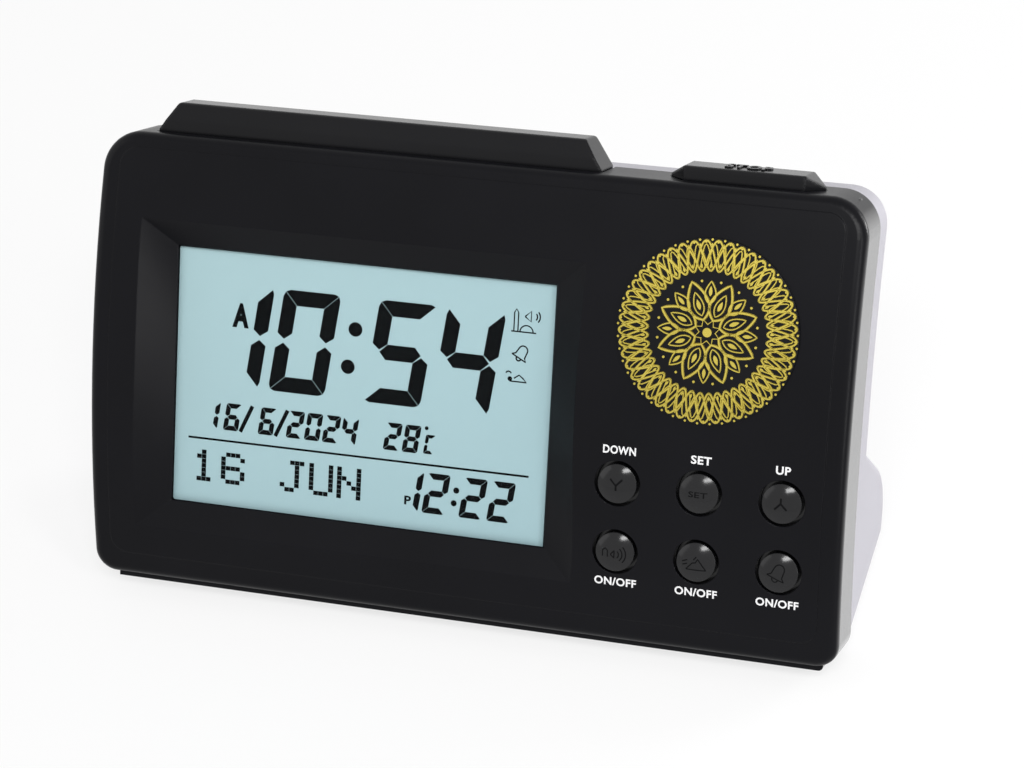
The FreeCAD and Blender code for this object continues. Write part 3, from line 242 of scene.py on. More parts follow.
case_black = moulded("case_black", (0.0032, 0.0032, 0.0045), 0.32, shine=0.11, edge=0.35)
key_black = moulded("key_black", (0.0060, 0.0060, 0.0068), 0.15, shine=0.32, grain=0.002, edge=0.2)
bar_black = moulded("bar_black", (0.0030, 0.0030, 0.0040), 0.22, shine=0.20, grain=0.002, edge=0.8)
inner_black = moulded("inner_black", (0.020, 0.020, 0.021), 0.50)
inner_white = moulded("inner_white", (0.72, 0.72, 0.70), 0.45)
surface = case_black.node("ShaderNodeNewGeometry", out=1)
sideways = case_black.node("ShaderNodeSeparateXYZ", None, {0: surface}, 0)
flank = (sideways * sideways).band(0.55, 0.95)
case_black.set(Coat_Weight=flank, Coat_Roughness=0.12)
print("mouldings:", case_black.material.name, key_black.material.name, bar_black.material.name)

# %% [markdown]
# ## Silver rear shell
# The rear shell is plastic sprayed or filled with aluminium flake. A plain grey looks like primer,
# and a full metal looks like a casting, so the shader is part metal, and each tiny flake has its
# own brightness.

# %% Silver with flakes
shell_silver = Finish("shell_silver")
silver_flake = shell_silver.flakes(0.12)
silver_cloud = shell_silver.clouds(30.0)
silver_round = shell_silver.rounded(0.25)
silver_tone = (silver_flake * 0.5 + silver_cloud * 0.5).band(0.1, 0.9)
shell_silver.set(
    Base_Color=shell_silver.mix(silver_tone, (0.36, 0.35, 0.39), (0.46, 0.45, 0.495)),
    Roughness=0.40 + (silver_flake - 0.5) * 0.12 + (silver_cloud - 0.5) * 0.10,
    Metallic=0.3,
    Normal=shell_silver.bump(silver_flake, 0.002, silver_round),
)
print("shell:", shell_silver.material.name)

# %% [markdown]
# ## Clear window and display cell
# The window is a thin clear sheet in front of the display. Refracting glass would cost much light
# and noise for no look at this thickness, so the sheet is nearly see-through and only carries a
# faint gloss with smudges. The cell behind it is dark outside its lit field.

# %% Window, cell and light parts
window_clear = Finish("window_clear")
smudge = window_clear.clouds(9.0, 3.0)
window_clear.set(Base_Color=window_clear.mix(smudge, (0.02, 0.022, 0.022), (0.04, 0.042, 0.043)))
window_clear.set(Roughness=0.05 + smudge.band(0.5, 0.8) * 0.08, Alpha=0.035)
window_clear.set(Specular_IOR_Level=0.3)

cell_dark = Finish("cell_dark")
cell_cloud = cell_dark.clouds(12.0)
cell_dark.set(Base_Color=cell_dark.mix(cell_cloud, (0.010, 0.011, 0.012), (0.016, 0.017, 0.018)))
cell_dark.set(Roughness=0.12 + cell_cloud * 0.08)

guide_milky = Finish("guide_milky")
guide_dot = guide_milky.flakes(0.9)
guide_milky.set(Base_Color=guide_milky.mix(guide_dot, (0.62, 0.70, 0.70), (0.78, 0.84, 0.84)))
guide_milky.set(Roughness=0.3 + guide_dot * 0.1)

lamp_yellow = Finish("lamp_yellow")
lamp_grain = lamp_yellow.clouds(0.6)
lamp_yellow.set(Base_Color=lamp_yellow.mix(lamp_grain, (0.80, 0.78, 0.52), (0.88, 0.86, 0.66)))
lamp_yellow.set(Roughness=0.3 + lamp_grain * 0.1)
print("see-through and lit parts ready")

# %% [markdown]
# ## Metals, boards, paper, rubber and cells
# These parts hide inside or under the clock and show only when it is opened or turned over. Each
# still gets the pattern of its real material: drawing lines on steel, tracks on a board, fibres in
# a paper cone, stripes in the contact strip, and two bands on the wrap of a cell.

# %% Finishes inside and underneath
def streaked_metal(name, colour, rough):
    finish = Finish(name)
    streak = finish.clouds(0.5, 3.0, finish.stretched(1.0, 1.0, 0.06))
    stain = finish.clouds(7.0)
    finish.set(Base_Color=finish.mix(stain * 0.6 + streak * 0.4, scaled(colour, 0.8), colour))
    finish.set(Roughness=rough + (streak - 0.5) * 0.2, Metallic=1.0)
    return finish.set(Normal=finish.bump(streak, 0.004))


plated_steel = streaked_metal("plated_steel", (0.66, 0.66, 0.64), 0.30)

board_green = Finish("board_green")
track = (board_green.axis(0) * 2.4 + board_green.clouds(5.0) * 9.0).wave().band(0.2, 0.35)
mask_cloud = board_green.clouds(14.0)
board_tone = board_green.mix(mask_cloud, (0.012, 0.075, 0.030), (0.018, 0.095, 0.040))
board_green.set(Base_Color=board_green.mix(track, board_tone, (0.035, 0.160, 0.065)))
board_green.set(Roughness=0.34 - track * 0.06, Normal=board_green.bump(track, 0.02))

resin_black = Finish("resin_black")
resin_cloud = resin_black.clouds(2.5)
resin_black.set(Base_Color=resin_black.mix(resin_cloud, (0.008, 0.008, 0.009), (0.016, 0.016, 0.017)))
resin_black.set(Roughness=0.18 + resin_cloud * 0.15, Normal=resin_black.bump(resin_cloud, 0.05))

paper_grey = Finish("paper_grey")
fibre = paper_grey.clouds(0.35, 4.0, paper_grey.stretched(1.0, 0.3, 1.0))
paper_grey.set(Base_Color=paper_grey.mix(fibre, (0.030, 0.030, 0.030), (0.075, 0.073, 0.070)))
paper_grey.set(Roughness=0.85 - fibre * 0.1, Normal=paper_grey.bump(fibre, 0.03))

strip_rubber = Finish("strip_rubber")
stripe = (strip_rubber.axis(0) * 12.0).wave().band(-0.1, 0.1)
strip_rubber.set(Base_Color=strip_rubber.mix(stripe, (0.24, 0.24, 0.25), (0.035, 0.035, 0.035)))
strip_rubber.set(Roughness=0.7 + stripe * 0.1)

foot_grey = Finish("foot_grey")
foot_grain = foot_grey.clouds(0.5, 4.0)
foot_grey.set(Base_Color=foot_grey.mix(foot_grain, (0.028, 0.028, 0.029), (0.048, 0.048, 0.050)))
foot_grey.set(Roughness=0.75 + foot_grain * 0.15, Normal=foot_grey.bump(foot_grain, 0.02))

wrap_two_tone = Finish("wrap_two_tone")
wrap_band = wrap_two_tone.axis(0).band(6.0, 6.3)
wrap_scuff = wrap_two_tone.clouds(3.0, 4.0)
wrap_tone = wrap_two_tone.mix(wrap_band, (0.10, 0.10, 0.11), (0.52, 0.30, 0.08))
wrap_two_tone.set(Base_Color=wrap_two_tone.mix(wrap_scuff.band(0.6, 0.8) * 0.3, wrap_tone, (0.5, 0.5, 0.5)))
wrap_two_tone.set(Roughness=0.25 + wrap_scuff * 0.15, Metallic=0.4)
print("inner finishes ready")

# %% [markdown]
# ## Which solid takes which finish
# The list below is the maker's list of parts. Each solid of the CAD model is named once, and the
# cell stops if one is forgotten.

# %% Put the finishes on the solids
disc_black = moulded("disc_black", (0.0030, 0.0030, 0.0040), 0.30, shine=0.14, grain=0.004)
parts_by_finish = {
    case_black: ["front_housing"],
    shell_silver: ["rear_shell", "battery_door"],
    window_clear: ["display_window"],
    cell_dark: ["lcd_glass"],
    inner_white: ["lcd_frame"],
    guide_milky: ["light_guide"],
    lamp_yellow: ["backlight_leds"],
    strip_rubber: ["contact_strip"],
    board_green: ["display_board", "key_board", "top_board"],
    resin_black: ["chip_cover", "capacitor"],
    plated_steel: [
        "crystal_can", "battery_contacts", "case_screws", "board_screws", "top_board_screws"
    ],
    inner_black: ["key_switches", "top_switches", "speaker_basket", "battery_tray"],
    key_black: [
        "down_button", "set_button", "up_button", "sound_button", "snooze_button", "alarm_button"
    ],
    bar_black: ["light_bar", "stop_button"],
    disc_black: ["medallion"],
    paper_grey: ["speaker_cone"],
    wrap_two_tone: ["battery_cells"],
    foot_grey: ["rubber_feet"],
}
waiting = set(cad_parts)
for finish, names in parts_by_finish.items():
    for name in names:
        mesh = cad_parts[name].data
        mesh.materials.clear()
        mesh.materials.append(finish.material)
        waiting.discard(name)
if waiting:
    raise ValueError(f"no finish for {sorted(waiting)}")
print("finished solids:", len(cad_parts))

# %% [markdown]
# ## Marks that lie on a surface
# Printed words, display bars and raised lines are all thin shapes on a flat or curved surface.
# They could be projected with modifiers, but a modifier has to search for the surface. The
# surfaces are known here, so a stamp works out each point: its place function takes a point of the
# drawing and a height above the surface.

# %% The stamp
class Stamp:
    """Thin shapes gathered on one surface, to become one piece."""

    def __init__(self, place, low, high):
        self.place, self.low, self.high = place, low, high
        self.points, self.faces = [], []

    def _rows(self, rows):
        start = len(self.points)
        self.points += [self.place(*point) for row in rows for point in row]
        return start

    def plate(self, outline):
        """A closed outline as a thin plate."""
        count = len(outline)
        rows = [[(u, v, h) for u, v in outline] for h in (self.low, self.high)]
        first = self._rows(rows)
        ring = range(count)
        self.faces.append([first + i for i in reversed(ring)])
        self.faces.append([first + count + i for i in ring])
        for i in ring:
            j = (i + 1) % count
            self.faces.append([first + i, first + j, first + count + j, first + count + i])

    def ribbon(self, path, width, closed=False):
        """A line with sloping flanks and a flat top."""
        count = len(path)
        rows = []
        for i, (u, v) in enumerate(path):
            before = path[i - 1] if i or closed else path[i]
            after = path[(i + 1) % count] if i < count - 1 or closed else path[i]
            along = Vector((after[0] - before[0], after[1] - before[1])).normalized()
            side = Vector((-along.y, along.x)) * width / 2
            rows.append([
                (u + side.x * part, v + side.y * part, height)
                for part, height in
                ((-1, self.low), (-0.5, self.high), (0.5, self.high), (1, self.low))
            ])
        first = self._rows(rows)
        for i in range(count if closed else count - 1):
            here, there = first + 4 * i, first + 4 * ((i + 1) % count)
            for k in range(4):
                m = (k + 1) % 4
                self.faces.append([here + k, here + m, there + m, there + k])
        if not closed:
            self.faces.append([first + k for k in range(4)])
            self.faces.append([first + 4 * (count - 1) + k for k in reversed(range(4))])

    def dot(self, u, v, radius, sides=20):
        """A round plate."""
        turns = [2 * math.pi * i / sides for i in range(sides)]
        self.plate([(u + radius * math.cos(a), v + radius * math.sin(a)) for a in turns])

    def piece(self, name, finish, body):
        """All shapes so far as one object that moves with a body."""
        mesh = bpy.data.meshes.new(name)
        work = bmesh.new()
        corners = [work.verts.new(point) for point in self.points]
        for face in self.faces:
            work.faces.new([corners[i] for i in face])
        bmesh.ops.remove_doubles(work, verts=work.verts, dist=1e-7)
        bmesh.ops.recalc_face_normals(work, faces=work.faces)
        work.to_mesh(mesh)
        work.free()
        mesh.materials.append(finish.material)
        made = bpy.data.objects.new(name, mesh)
        bpy.context.scene.collection.objects.link(made)
        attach(made, body)
        print(name, "faces:", len(mesh.polygons))
        return made


print("stamp ready")

# %% [markdown]
# ## The lit field of the display
# The display is a reflective cell with a pale blue-green field. The field is a thin sheet with
# small round corners, just in front of the cell. Its colour is painted a little darker towards its
# foot and its right end, a painted shade. A photograph or an image texture isn't needed for such an
# even tone.

# %% The field
FIELD_DEPTH = 1.98
FIELD = (-59.15, 17.15, -27.85, 22.65)


def on_display(x, z, height):
    return room(x, FIELD_DEPTH - height, z)


def round_corners(left, right, foot, top, radius, steps=6):
    """A rectangle's outline with round corners."""
    corners = ((right, top, 0), (left, top, 90), (left, foot, 180), (right, foot, 270))
    outline = []
    for x, z, turn in corners:
        centre_x = x - radius if x == right else x + radius
        centre_z = z - radius if z == top else z + radius
        for i in range(steps + 1):
            angle = math.radians(turn + 90 * i / steps)
            outline.append((centre_x + radius * math.cos(angle), centre_z + radius * math.sin(angle)))
    return outline


field_pale = Finish("field_pale")
# Painted shade: the mask is 0 at the darker foot and right end and 1 up and to the left
field_painted_shade = (field_pale.axis(2) * 0.7 - field_pale.axis(0) * 0.3).band(5.0, 70.0)
field_grain = field_pale.clouds(1.2, 4.0)
field_tone = field_pale.mix(field_painted_shade, (0.365, 0.535, 0.575), (0.430, 0.615, 0.645))
field_pale.set(Base_Color=field_pale.mix(field_grain * 0.12, field_tone, (0.30, 0.48, 0.54)))
field_pale.set(Roughness=0.45 + field_grain * 0.1, Specular_IOR_Level=0.3)

field = Stamp(on_display, 0.0, 0.02)
field.plate(round_corners(*FIELD, 0.5))
field.piece("display_field", field_pale, "case")

# %% [markdown]
# ## Bars of the digits
# A segment digit has seven bars, a to g, with mitred ends and a hair's gap between them. Only the
# top bar, the upper left bar and the middle bar have to be drawn: the others are their mirror
# images. The whole cell then leans to the right.

# %% Seven bars in a leaning cell
DIGIT_BARS = {
    "0": "abcdef", "1": "bc", "2": "abged", "4": "fgbc", "5": "afgcd", "6": "afgedc",
    "8": "abcdefg", "C": "afed",
}
DIGIT_SLANT = 0.137


def bars(width, height, stroke, gap):
    """The seven bars of an upright cell."""
    middle, nick, tip = height / 2, 0.12 * stroke, 0.5 * stroke
    corner = 0.42 * stroke
    top = [
        (nick + gap, height - nick), (corner + gap, height), (width - corner - gap, height),
        (width - nick - gap, height - nick), (width - stroke - gap, height - stroke),
        (stroke + gap, height - stroke),
    ]
    upper_left = [
        (nick, height - nick - gap), (stroke, height - stroke - gap),
        (stroke, middle + 0.52 * stroke), (tip, middle + 0.13 * stroke),
        (0, middle + 0.5 * stroke), (0, height - corner - gap),
    ]
    centre = [
        (tip + gap * 2, middle), (stroke + gap, middle + stroke / 2),
        (width - stroke - gap, middle + stroke / 2), (width - tip - gap * 2, middle),
        (width - stroke - gap, middle - stroke / 2), (stroke + gap, middle - stroke / 2),
    ]

    def across(shape):
        return [(width - x, z) for x, z in shape]

    def over(shape):
        return [(x, height - z) for x, z in shape]

    return {
        "a": top, "b": across(upper_left), "c": over(across(upper_left)), "d": over(top),
        "e": over(upper_left), "f": upper_left, "g": centre,
    }


def digit(stamp, character, left, foot, width, height, stroke, gap):
    """One digit whose cell has its lower left corner at left, foot."""
    shapes = bars(width, height, stroke, gap)
    for bar in DIGIT_BARS[character]:
        stamp.plate([(left + x + z * DIGIT_SLANT, foot + z) for x, z in shapes[bar]])


print("bars in an eight:", len(DIGIT_BARS["8"]))

# %% [markdown]
# ## Letters
# Blender's own text object has good outlines. It is turned into a mesh once, fitted to the width
# and height that the word has on the clock, and its points go through the stamp, so the word
# follows the surface.

# %% Words for the stamp
def add_word(stamp, text, middle_x, middle_z, width, height, bold=0.014, slant=0.0):
    """A word of that size, centred on a point of the drawing."""
    letters = bpy.data.curves.new("letters", "FONT")
    letters.body, letters.extrude, letters.offset = text, 0.5, bold
    letters.resolution_u = 4
    letters.space_character = 1.0 + 3 * bold
    holder = bpy.data.objects.new("letters", letters)
    bpy.context.scene.collection.objects.link(holder)
    bpy.context.view_layer.update()
    ready = holder.evaluated_get(bpy.context.evaluated_depsgraph_get())
    mesh = ready.to_mesh()
    across = [vertex.co.x for vertex in mesh.vertices]
    upward = [vertex.co.y for vertex in mesh.vertices]
    grow_x = width / (max(across) - min(across))
    grow_z = height / (max(upward) - min(upward))
    centre_x = (max(across) + min(across)) / 2
    centre_z = (max(upward) + min(upward)) / 2
    first = len(stamp.points)
    for vertex in mesh.vertices:
        z = (vertex.co.y - centre_z) * grow_z
        x = (vertex.co.x - centre_x) * grow_x + z * slant
        lift = stamp.low + (vertex.co.z + 0.5) * (stamp.high - stamp.low)
        stamp.points.append(stamp.place(middle_x + x, middle_z + z, lift))
    stamp.faces += [[first + i for i in face.vertices] for face in mesh.polygons]
    ready.to_mesh_clear()
    bpy.data.objects.remove(holder)
    bpy.data.curves.remove(letters)


print("words ready")

# %% [markdown]
# ## What the display shows
# A liquid crystal shows black where a bar is on. The marks are thin black plates just in front of
# the field: the time in large digits, the date and the temperature in small ones, a rule, a row in
# a five by seven dot pattern, and a second time.

# %% Time, date and temperature
ink_black = Finish("ink_black")
ink_cloud = ink_black.clouds(3.0)
ink_black.set(Base_Color=ink_black.mix(ink_cloud, (0.0010, 0.0016, 0.0020), (0.0022, 0.0030, 0.0036)))
ink_black.set(Roughness=0.5 + ink_cloud * 0.1, Specular_IOR_Level=0.03)

# The width, height, bar width and gap of a digit, and where its row stands, all in mm
TIME_SIZE, TIME_FOOT = (11.6, 20.1, 3.0, 0.06), -3.85
DATE_SIZE, DATE_FOOT = (3.15, 5.4, 0.96, 0.04), -12.75
DEGREE_SIZE, DEGREE_FOOT = (1.95, 3.75, 0.66, 0.03), -12.6
SECOND_SIZE, SECOND_FOOT = (4.55, 7.95, 1.2, 0.04), -24.2

marks = Stamp(on_display, 0.03, 0.055)
for character, left in zip("1054", (-53.6, -40.05, -20.6, -7.0)):
    digit(marks, character, left, TIME_FOOT, *TIME_SIZE)
for x, z in ((-22.6, 9.95), (-23.85, 2.55)):
    marks.dot(x, z, 1.4, 28)
add_word(marks, "A", -46.1, 10.2, 3.4, 4.8, bold=0.055, slant=0.02)

DATE_LEFTS = (-53.55, -49.15, -41.9, -36.05, -32.3, -28.6, -24.95, -16.1, -12.3)
for character, left in zip("166202428", DATE_LEFTS):
    digit(marks, character, left, DATE_FOOT, *DATE_SIZE)
for foot_x, head_x in ((-45.5, -43.1), (-38.2, -35.8)):
    marks.ribbon([(foot_x, DATE_FOOT), (head_x, -7.4)], 0.8)
digit(marks, "C", -7.95, DEGREE_FOOT, *DEGREE_SIZE)
marks.dot(-7.4, -7.6, 0.38)
marks.ribbon([(-56.3, -14.95), (13.3, -14.65)], 0.42)

for character, left in zip("1222", (-13.05, -7.75, -0.3, 5.3)):
    digit(marks, character, left, SECOND_FOOT, *SECOND_SIZE)
for x, z in ((-0.9, -19.05), (-1.3, -21.6)):
    marks.dot(x, z, 0.6)
add_word(marks, "P", -10.6, -22.15, 1.35, 1.75, bold=0.03)
print("faces of the figures:", len(marks.faces))

# %% [markdown]
# ## The row of dots
# The lowest row gives the day and the month in square dots, five across and seven down. A pixel
# font could draw them, but it would be one more file to load. Seven short strings for each
# character are enough: each 1 becomes a small plate.

# %% The row of dots
DOT_ROWS = {
    "1": "00100 01100 00100 00100 00100 00100 01110",
    "6": "01110 10001 10000 11110 10001 10001 01110",
    "J": "00111 00010 00010 00010 00010 10010 01100",
    "U": "10001 10001 10001 10001 10001 10001 01110",
    "N": "10001 10001 11001 10101 10011 10001 10001",
}
DOT_PITCH = (1.0, 0.9)
DOT_SIZE = (0.94, 0.85)
DOT_TOP = -17.2
for character, left in zip("16JUN", (-55.35, -49.25, -36.9, -30.9, -25.15)):
    for row, pattern in enumerate(DOT_ROWS[character].split()):
        for column, lit in enumerate(pattern):
            if lit == "1":
                x, z = left + column * DOT_PITCH[0], DOT_TOP - row * DOT_PITCH[1]
                right, foot = x + DOT_SIZE[0], z - DOT_SIZE[1]
                marks.plate([(x, foot), (right, foot), (right, z), (x, z)])
print("faces with the dots:", len(marks.faces))

# %% [markdown]
# ## Three small signs
# On the right, the display has three signs in outline: a tower with sound, a bell, and a hill with
# a dot for the snooze. A drawing program could trace them, but lines this thin need only a few
# points. Each sign is some short ribbons, and its round parts are arcs worked out from a middle,
# a radius and two angles.

# %% Three small signs on the right
def arc(middle_x, middle_z, radius, start, end, steps=8):
    """Points along an arc, with its angles in degrees."""
    turns = [math.radians(start + (end - start) * i / steps) for i in range(steps + 1)]
    return [(middle_x + radius * math.cos(a), middle_z + radius * math.sin(a)) for a in turns]


def turned(path, middle_x, middle_z, degrees, size=1.0):
    """A path drawn round the origin, turned and put in its place."""
    cosine, sine = math.cos(math.radians(degrees)), math.sin(math.radians(degrees))
    return [
        (middle_x + size * (x * cosine - z * sine), middle_z + size * (x * sine + z * cosine))
        for x, z in path
    ]


BELL = [
    (-1.5, -1.1), (-0.95, -0.6), (-0.85, 0.5), *arc(0, 0.5, 0.85, 180, 0, 8), (0.95, -0.6),
    (1.5, -1.1), (-1.5, -1.1),
]
SIGN_LINE, FINE_LINE = 0.27, 0.25
for radius in (0.9, 1.45):
    marks.ribbon(arc(12.5, 16.1, radius, -42, 42), SIGN_LINE)
marks.ribbon([(11.0, 16.0), (12.2, 17.1), (12.2, 15.1), (11.0, 16.0)], SIGN_LINE)
marks.ribbon([(8.9, 13.0), (8.9, 16.6), (9.3, 17.3), (9.7, 16.6), (9.7, 13.0)], FINE_LINE)
marks.ribbon([(8.4, 13.0), (13.3, 13.0)], SIGN_LINE)
marks.ribbon(arc(11.4, 13.0, 1.3, 0, 180, 10), FINE_LINE)
marks.ribbon(turned(BELL, 10.7, 9.0, -28, 1.05), SIGN_LINE)
marks.ribbon(turned(arc(0, -1.2, 0.45, 180, 360, 6), 10.7, 9.0, -28, 1.05), 0.3)
marks.dot(8.6, 3.85, 0.45)
marks.ribbon([(8.6, 3.4), (11.9, 3.4), (11.2, 4.1), (10.4, 4.7), (9.4, 4.0)], SIGN_LINE)
marks.ribbon(arc(8.3, 4.7, 0.55, 20, 160, 6), SIGN_LINE)
marks.piece("display_marks", ink_black, "case")

# %% [markdown]
# ## Words beside the keys
# The words are screen-printed in white on the curved face. Print is a few hundredths of a
# millimetre thick, so the letters are plates of that height that follow the curve, and their edges
# catch a little light as real ink does.

# %% Printed words
def on_face(x, z, height):
    return room(x, curve_depth(z) - height, z)


print_white = Finish("print_white")
print_wear = print_white.clouds(0.5, 4.0)
print_white.set(Base_Color=print_white.mix(print_wear, (0.70, 0.70, 0.71), (0.88, 0.88, 0.88)))
print_white.set(Roughness=0.45 + print_wear * 0.15)

WORD_HEIGHT = 1.6
words = Stamp(on_face, -0.01, 0.03)
for text, x, z, width in (
    ("DOWN", 32.4, -5.85, 6.3), ("SET", 48.0, -5.95, 3.9), ("UP", 63.4, -6.05, 2.8),
    ("ON/OFF", 32.4, -31.65, 8.1), ("ON/OFF", 47.95, -31.7, 8.1), ("ON/OFF", 63.4, -31.8, 8.1),
):
    add_word(words, text, x, z, width, WORD_HEIGHT, bold=0.026)
words.piece("key_words", print_white, "case")

# %% [markdown]
# ## Signs on the keys
# Each domed key has a shallow sign moulded in. A cut in the dome would need a change to the solid,
# so the sign is a very low raised line that lies on the dome and moves with its key. It is rougher,
# and its darker black is a painted shade that stands for the shadow inside the cut. The line is only
# some hundredths of a millimetre high, so a long straight run would sink into the dome, and each
# path gets more points first.

# %% Six signs on six domes
KEY_X = (32.25, 47.85, 63.45)
DOME_RADIUS = 8.14
# Where a row of keys stands on the face, and how deep the tops of its domes lie, in mm
KEY_ROWS = {"upper": (-12.3, -5.122), "lower": (-25.65, -3.848)}


def on_dome(key_x, key_z, apex):
    """The place function of one key's dome, with its own middle as origin."""
    def place(x, z, height):
        sag = DOME_RADIUS - math.sqrt(DOME_RADIUS ** 2 - x ** 2 - z ** 2)
        return room(key_x + x, apex + sag - height, key_z + z)
    return place


def divided(path, step=0.25):
    """The same path with points close enough to follow a dome."""
    points = [path[0]]
    for start, end in zip(path, path[1:]):
        along_x, along_z = end[0] - start[0], end[1] - start[1]
        parts = max(1, round(math.hypot(along_x, along_z) / step))
        for i in range(1, parts + 1):
            points.append((start[0] + along_x * i / parts, start[1] + along_z * i / parts))
    return points


# Rougher than the keys, and darker as a painted shade for the shadow inside a moulded cut
sign_black_painted_shade = moulded("sign_black_painted_shade", (0.0016, 0.0016, 0.0020), 0.50, shine=0.08, edge=0.05)
SIGN_LINES = {
    "down": [[(-1.15, 1.0), (0, -0.2), (1.15, 1.0)], [(0, -0.2), (0, -1.2)]],
    "set": [],
    "up": [[(-1.15, -1.0), (0, 0.2), (1.15, -1.0)], [(0, 0.2), (0, 1.2)]],
    "sound": [
        [(-2.2, -0.9), (-2.2, 0.3), (-1.7, 0.7), (-1.2, 0.3), (-1.2, -0.9)],
        [(-0.6, -0.35), (0.1, 0.45), (0.1, -1.0), (-0.6, -0.35)],
        arc(0.1, -0.3, 0.85, -48, 48), arc(0.1, -0.3, 1.5, -48, 48), arc(0.1, -0.3, 2.15, -44, 44),
    ],
    "snooze": [
        [(-1.7, -1.3), (2.1, -1.3), (0.5, 0.8), (0.1, 0.1), (-0.5, 0.0), (-1.7, -1.3)],
        [(-2.5, 0.1), (-1.5, 0.5)], [(-2.4, -0.5), (-1.5, -0.2)], [(-0.3, 0.6), (0.2, 1.2)],
    ],
    "alarm": [
        turned(shape, 0.1, 0.2, -22, 1.15) for shape in (BELL, arc(0, -1.2, 0.5, 180, 360, 6))
    ],
}
ARROW_WIDTH, SIGN_WIDTH = 0.46, 0.28
for index, (sign, lines) in enumerate(SIGN_LINES.items()):
    row = KEY_ROWS["upper" if index < 3 else "lower"]
    stamp = Stamp(on_dome(KEY_X[index % 3], *row), -0.02, 0.035)
    if sign == "set":
        add_word(stamp, "SET", 0.0, -0.1, 3.6, 1.1, bold=0.01)
    for line in lines:
        stamp.ribbon(divided(line), ARROW_WIDTH if sign in ("down", "up") else SIGN_WIDTH)
    stamp.piece(sign + "_sign", sign_black_painted_shade, sign + "_key")

# %% [markdown]
# ## Raised word on the stop button
# The stop button is found with a finger in the dark, so its word stands proud of its flat top. The
# same letters are used, laid on the top plane with their feet towards the front.

# %% The stop word
STOP_TOP = 46.8
STOP_MIDDLE = (50.5, 8.2)


def on_stop(x, y, height):
    return room(STOP_MIDDLE[0] + x, STOP_MIDDLE[1] + y, STOP_TOP + height)


stop_word = Stamp(on_stop, -0.05, 0.3)
add_word(stop_word, "STOP", 0.0, 0.0, 8.6, 4.2, bold=0.03)
stop_word.piece("stop_word", bar_black, "stop_key")

# %% [markdown]
# ## Gold relief of the medallion
# A round medallion sits beside the display: fine gold lines in relief on a black ground, a dense
# outer band, a dark ring, and an open motif in the middle. The band is a braid of three waves over
# two finer ones, with beads and leaves at its rims. A height picture could carry it, but real lines
# hold up close to: each is a ribbon with sloping flanks, which gives the gold its small highlights.

# %% Lines of the relief
MEDAL_X, MEDAL_Z = 47.5, 17.9
MEDAL_RADIUS = 200.52


def on_medal(x, z, height):
    deep = curve_depth(MEDAL_Z + z, MEDAL_RADIUS) - height
    return room(MEDAL_X + x, deep, MEDAL_Z + z)


def polar(radius, turn):
    return (radius * math.cos(turn), radius * math.sin(turn))


def ring_wave(radius, swing, count, phase, steps=360):
    """A closed line that swings in and out round the middle."""
    turns = [2 * math.pi * i / steps for i in range(steps)]
    return [polar(radius + swing * math.cos(count * a + phase), a) for a in turns]


def petal(inner, outer, spread, turn, steps=14):
    """A pointed petal from one radius to another, as a closed outline."""
    shape = []
    for sign in (1, -1):
        for i in range(steps):
            part = i / steps if sign == 1 else 1 - i / steps
            wide = spread * math.sin(math.pi * part) ** 0.8 * (1.15 - 0.45 * part)
            radius = inner + (outer - inner) * part
            shape.append(polar(radius, turn + sign * wide / max(radius, 1.0)))
    return shape


gold_relief = Finish("gold_relief")
gold_grain = gold_relief.clouds(0.25, 4.0)
gold_patina = gold_relief.clouds(5.0)
gold_tone = gold_relief.mix(gold_patina, (0.42, 0.335, 0.048), (0.56, 0.460, 0.085))
gold_relief.set(Base_Color=gold_relief.mix(gold_grain.band(0.55, 0.8) * 0.5, gold_tone, (0.34, 0.25, 0.04)))
gold_relief.set(Roughness=0.38 + gold_grain * 0.12, Metallic=0.75)
gold_relief.set(Normal=gold_relief.bump(gold_grain, 0.01))

relief = Stamp(on_medal, -0.05, 0.2)
BRAID = 15
BAND_MIDDLE = 13.9
for strand in range(3):
    relief.ribbon(ring_wave(BAND_MIDDLE, 2.75, BRAID, strand * 2 * math.pi / 3), 0.52, closed=True)
for strand in range(2):
    relief.ribbon(ring_wave(BAND_MIDDLE, 2.1, 2 * BRAID, strand * math.pi), 0.34, closed=True)
for i in range(6 * BRAID):
    turn = 2 * math.pi * i / (6 * BRAID)
    relief.dot(*polar(16.8 if i % 2 else 16.4, turn), 0.22, 8)
    if i % 2:
        relief.dot(*polar(11.25, turn), 0.19, 8)
for i in range(3 * BRAID):
    turn = 2 * math.pi * (i + 0.5) / (3 * BRAID)
    relief.plate(petal(15.2, 16.2, 0.22, turn, 4))
    relief.plate(petal(11.6, 12.6, 0.2, turn, 4))
print("faces of the band:", len(relief.faces))

# %% [markdown]
# ## The rosette
# The middle of the relief is open, so that it reads from a step away: eight long petals, eight
# short ones between them, and a star. An array modifier round an empty would repeat one petal,
# but a loop over the turn is as short and lets the two sizes alternate.

# %% The rosette in the middle
PETALS = 8
HALF_STEP = math.pi / PETALS
for i in range(PETALS):
    turn = HALF_STEP + 2 * HALF_STEP * i
    relief.ribbon(petal(2.4, 9.55, 2.1, turn), 0.62, closed=True)
    relief.ribbon(petal(3.2, 7.6, 0.95, turn), 0.36, closed=True)
    relief.plate(petal(4.3, 6.3, 0.4, turn, 8))
    between = turn + HALF_STEP
    relief.ribbon(petal(5.2, 9.3, 1.1, between), 0.4, closed=True)
    relief.plate(petal(6.6, 8.5, 0.35, between, 8))
    relief.dot(*polar(9.4, turn + 0.2), 0.24, 10)
    relief.dot(*polar(9.4, turn - 0.2), 0.24, 10)
star = [polar(2.5 if i % 2 else 1.5, HALF_STEP * i) for i in range(2 * PETALS)]
relief.ribbon(star, 0.34, closed=True)
relief.dot(0.0, 0.0, 0.85)
relief.piece("medallion_relief", gold_relief, "case")

# %% [markdown]
# ## Floor and room
# The picture is a product shot on white. More light would whiten the ground, but it would bleach
# the clock as well. So the light stays low, and only what the camera and the gloss see of the room
# and the floor is made white. The floor still keeps a soft shadow.

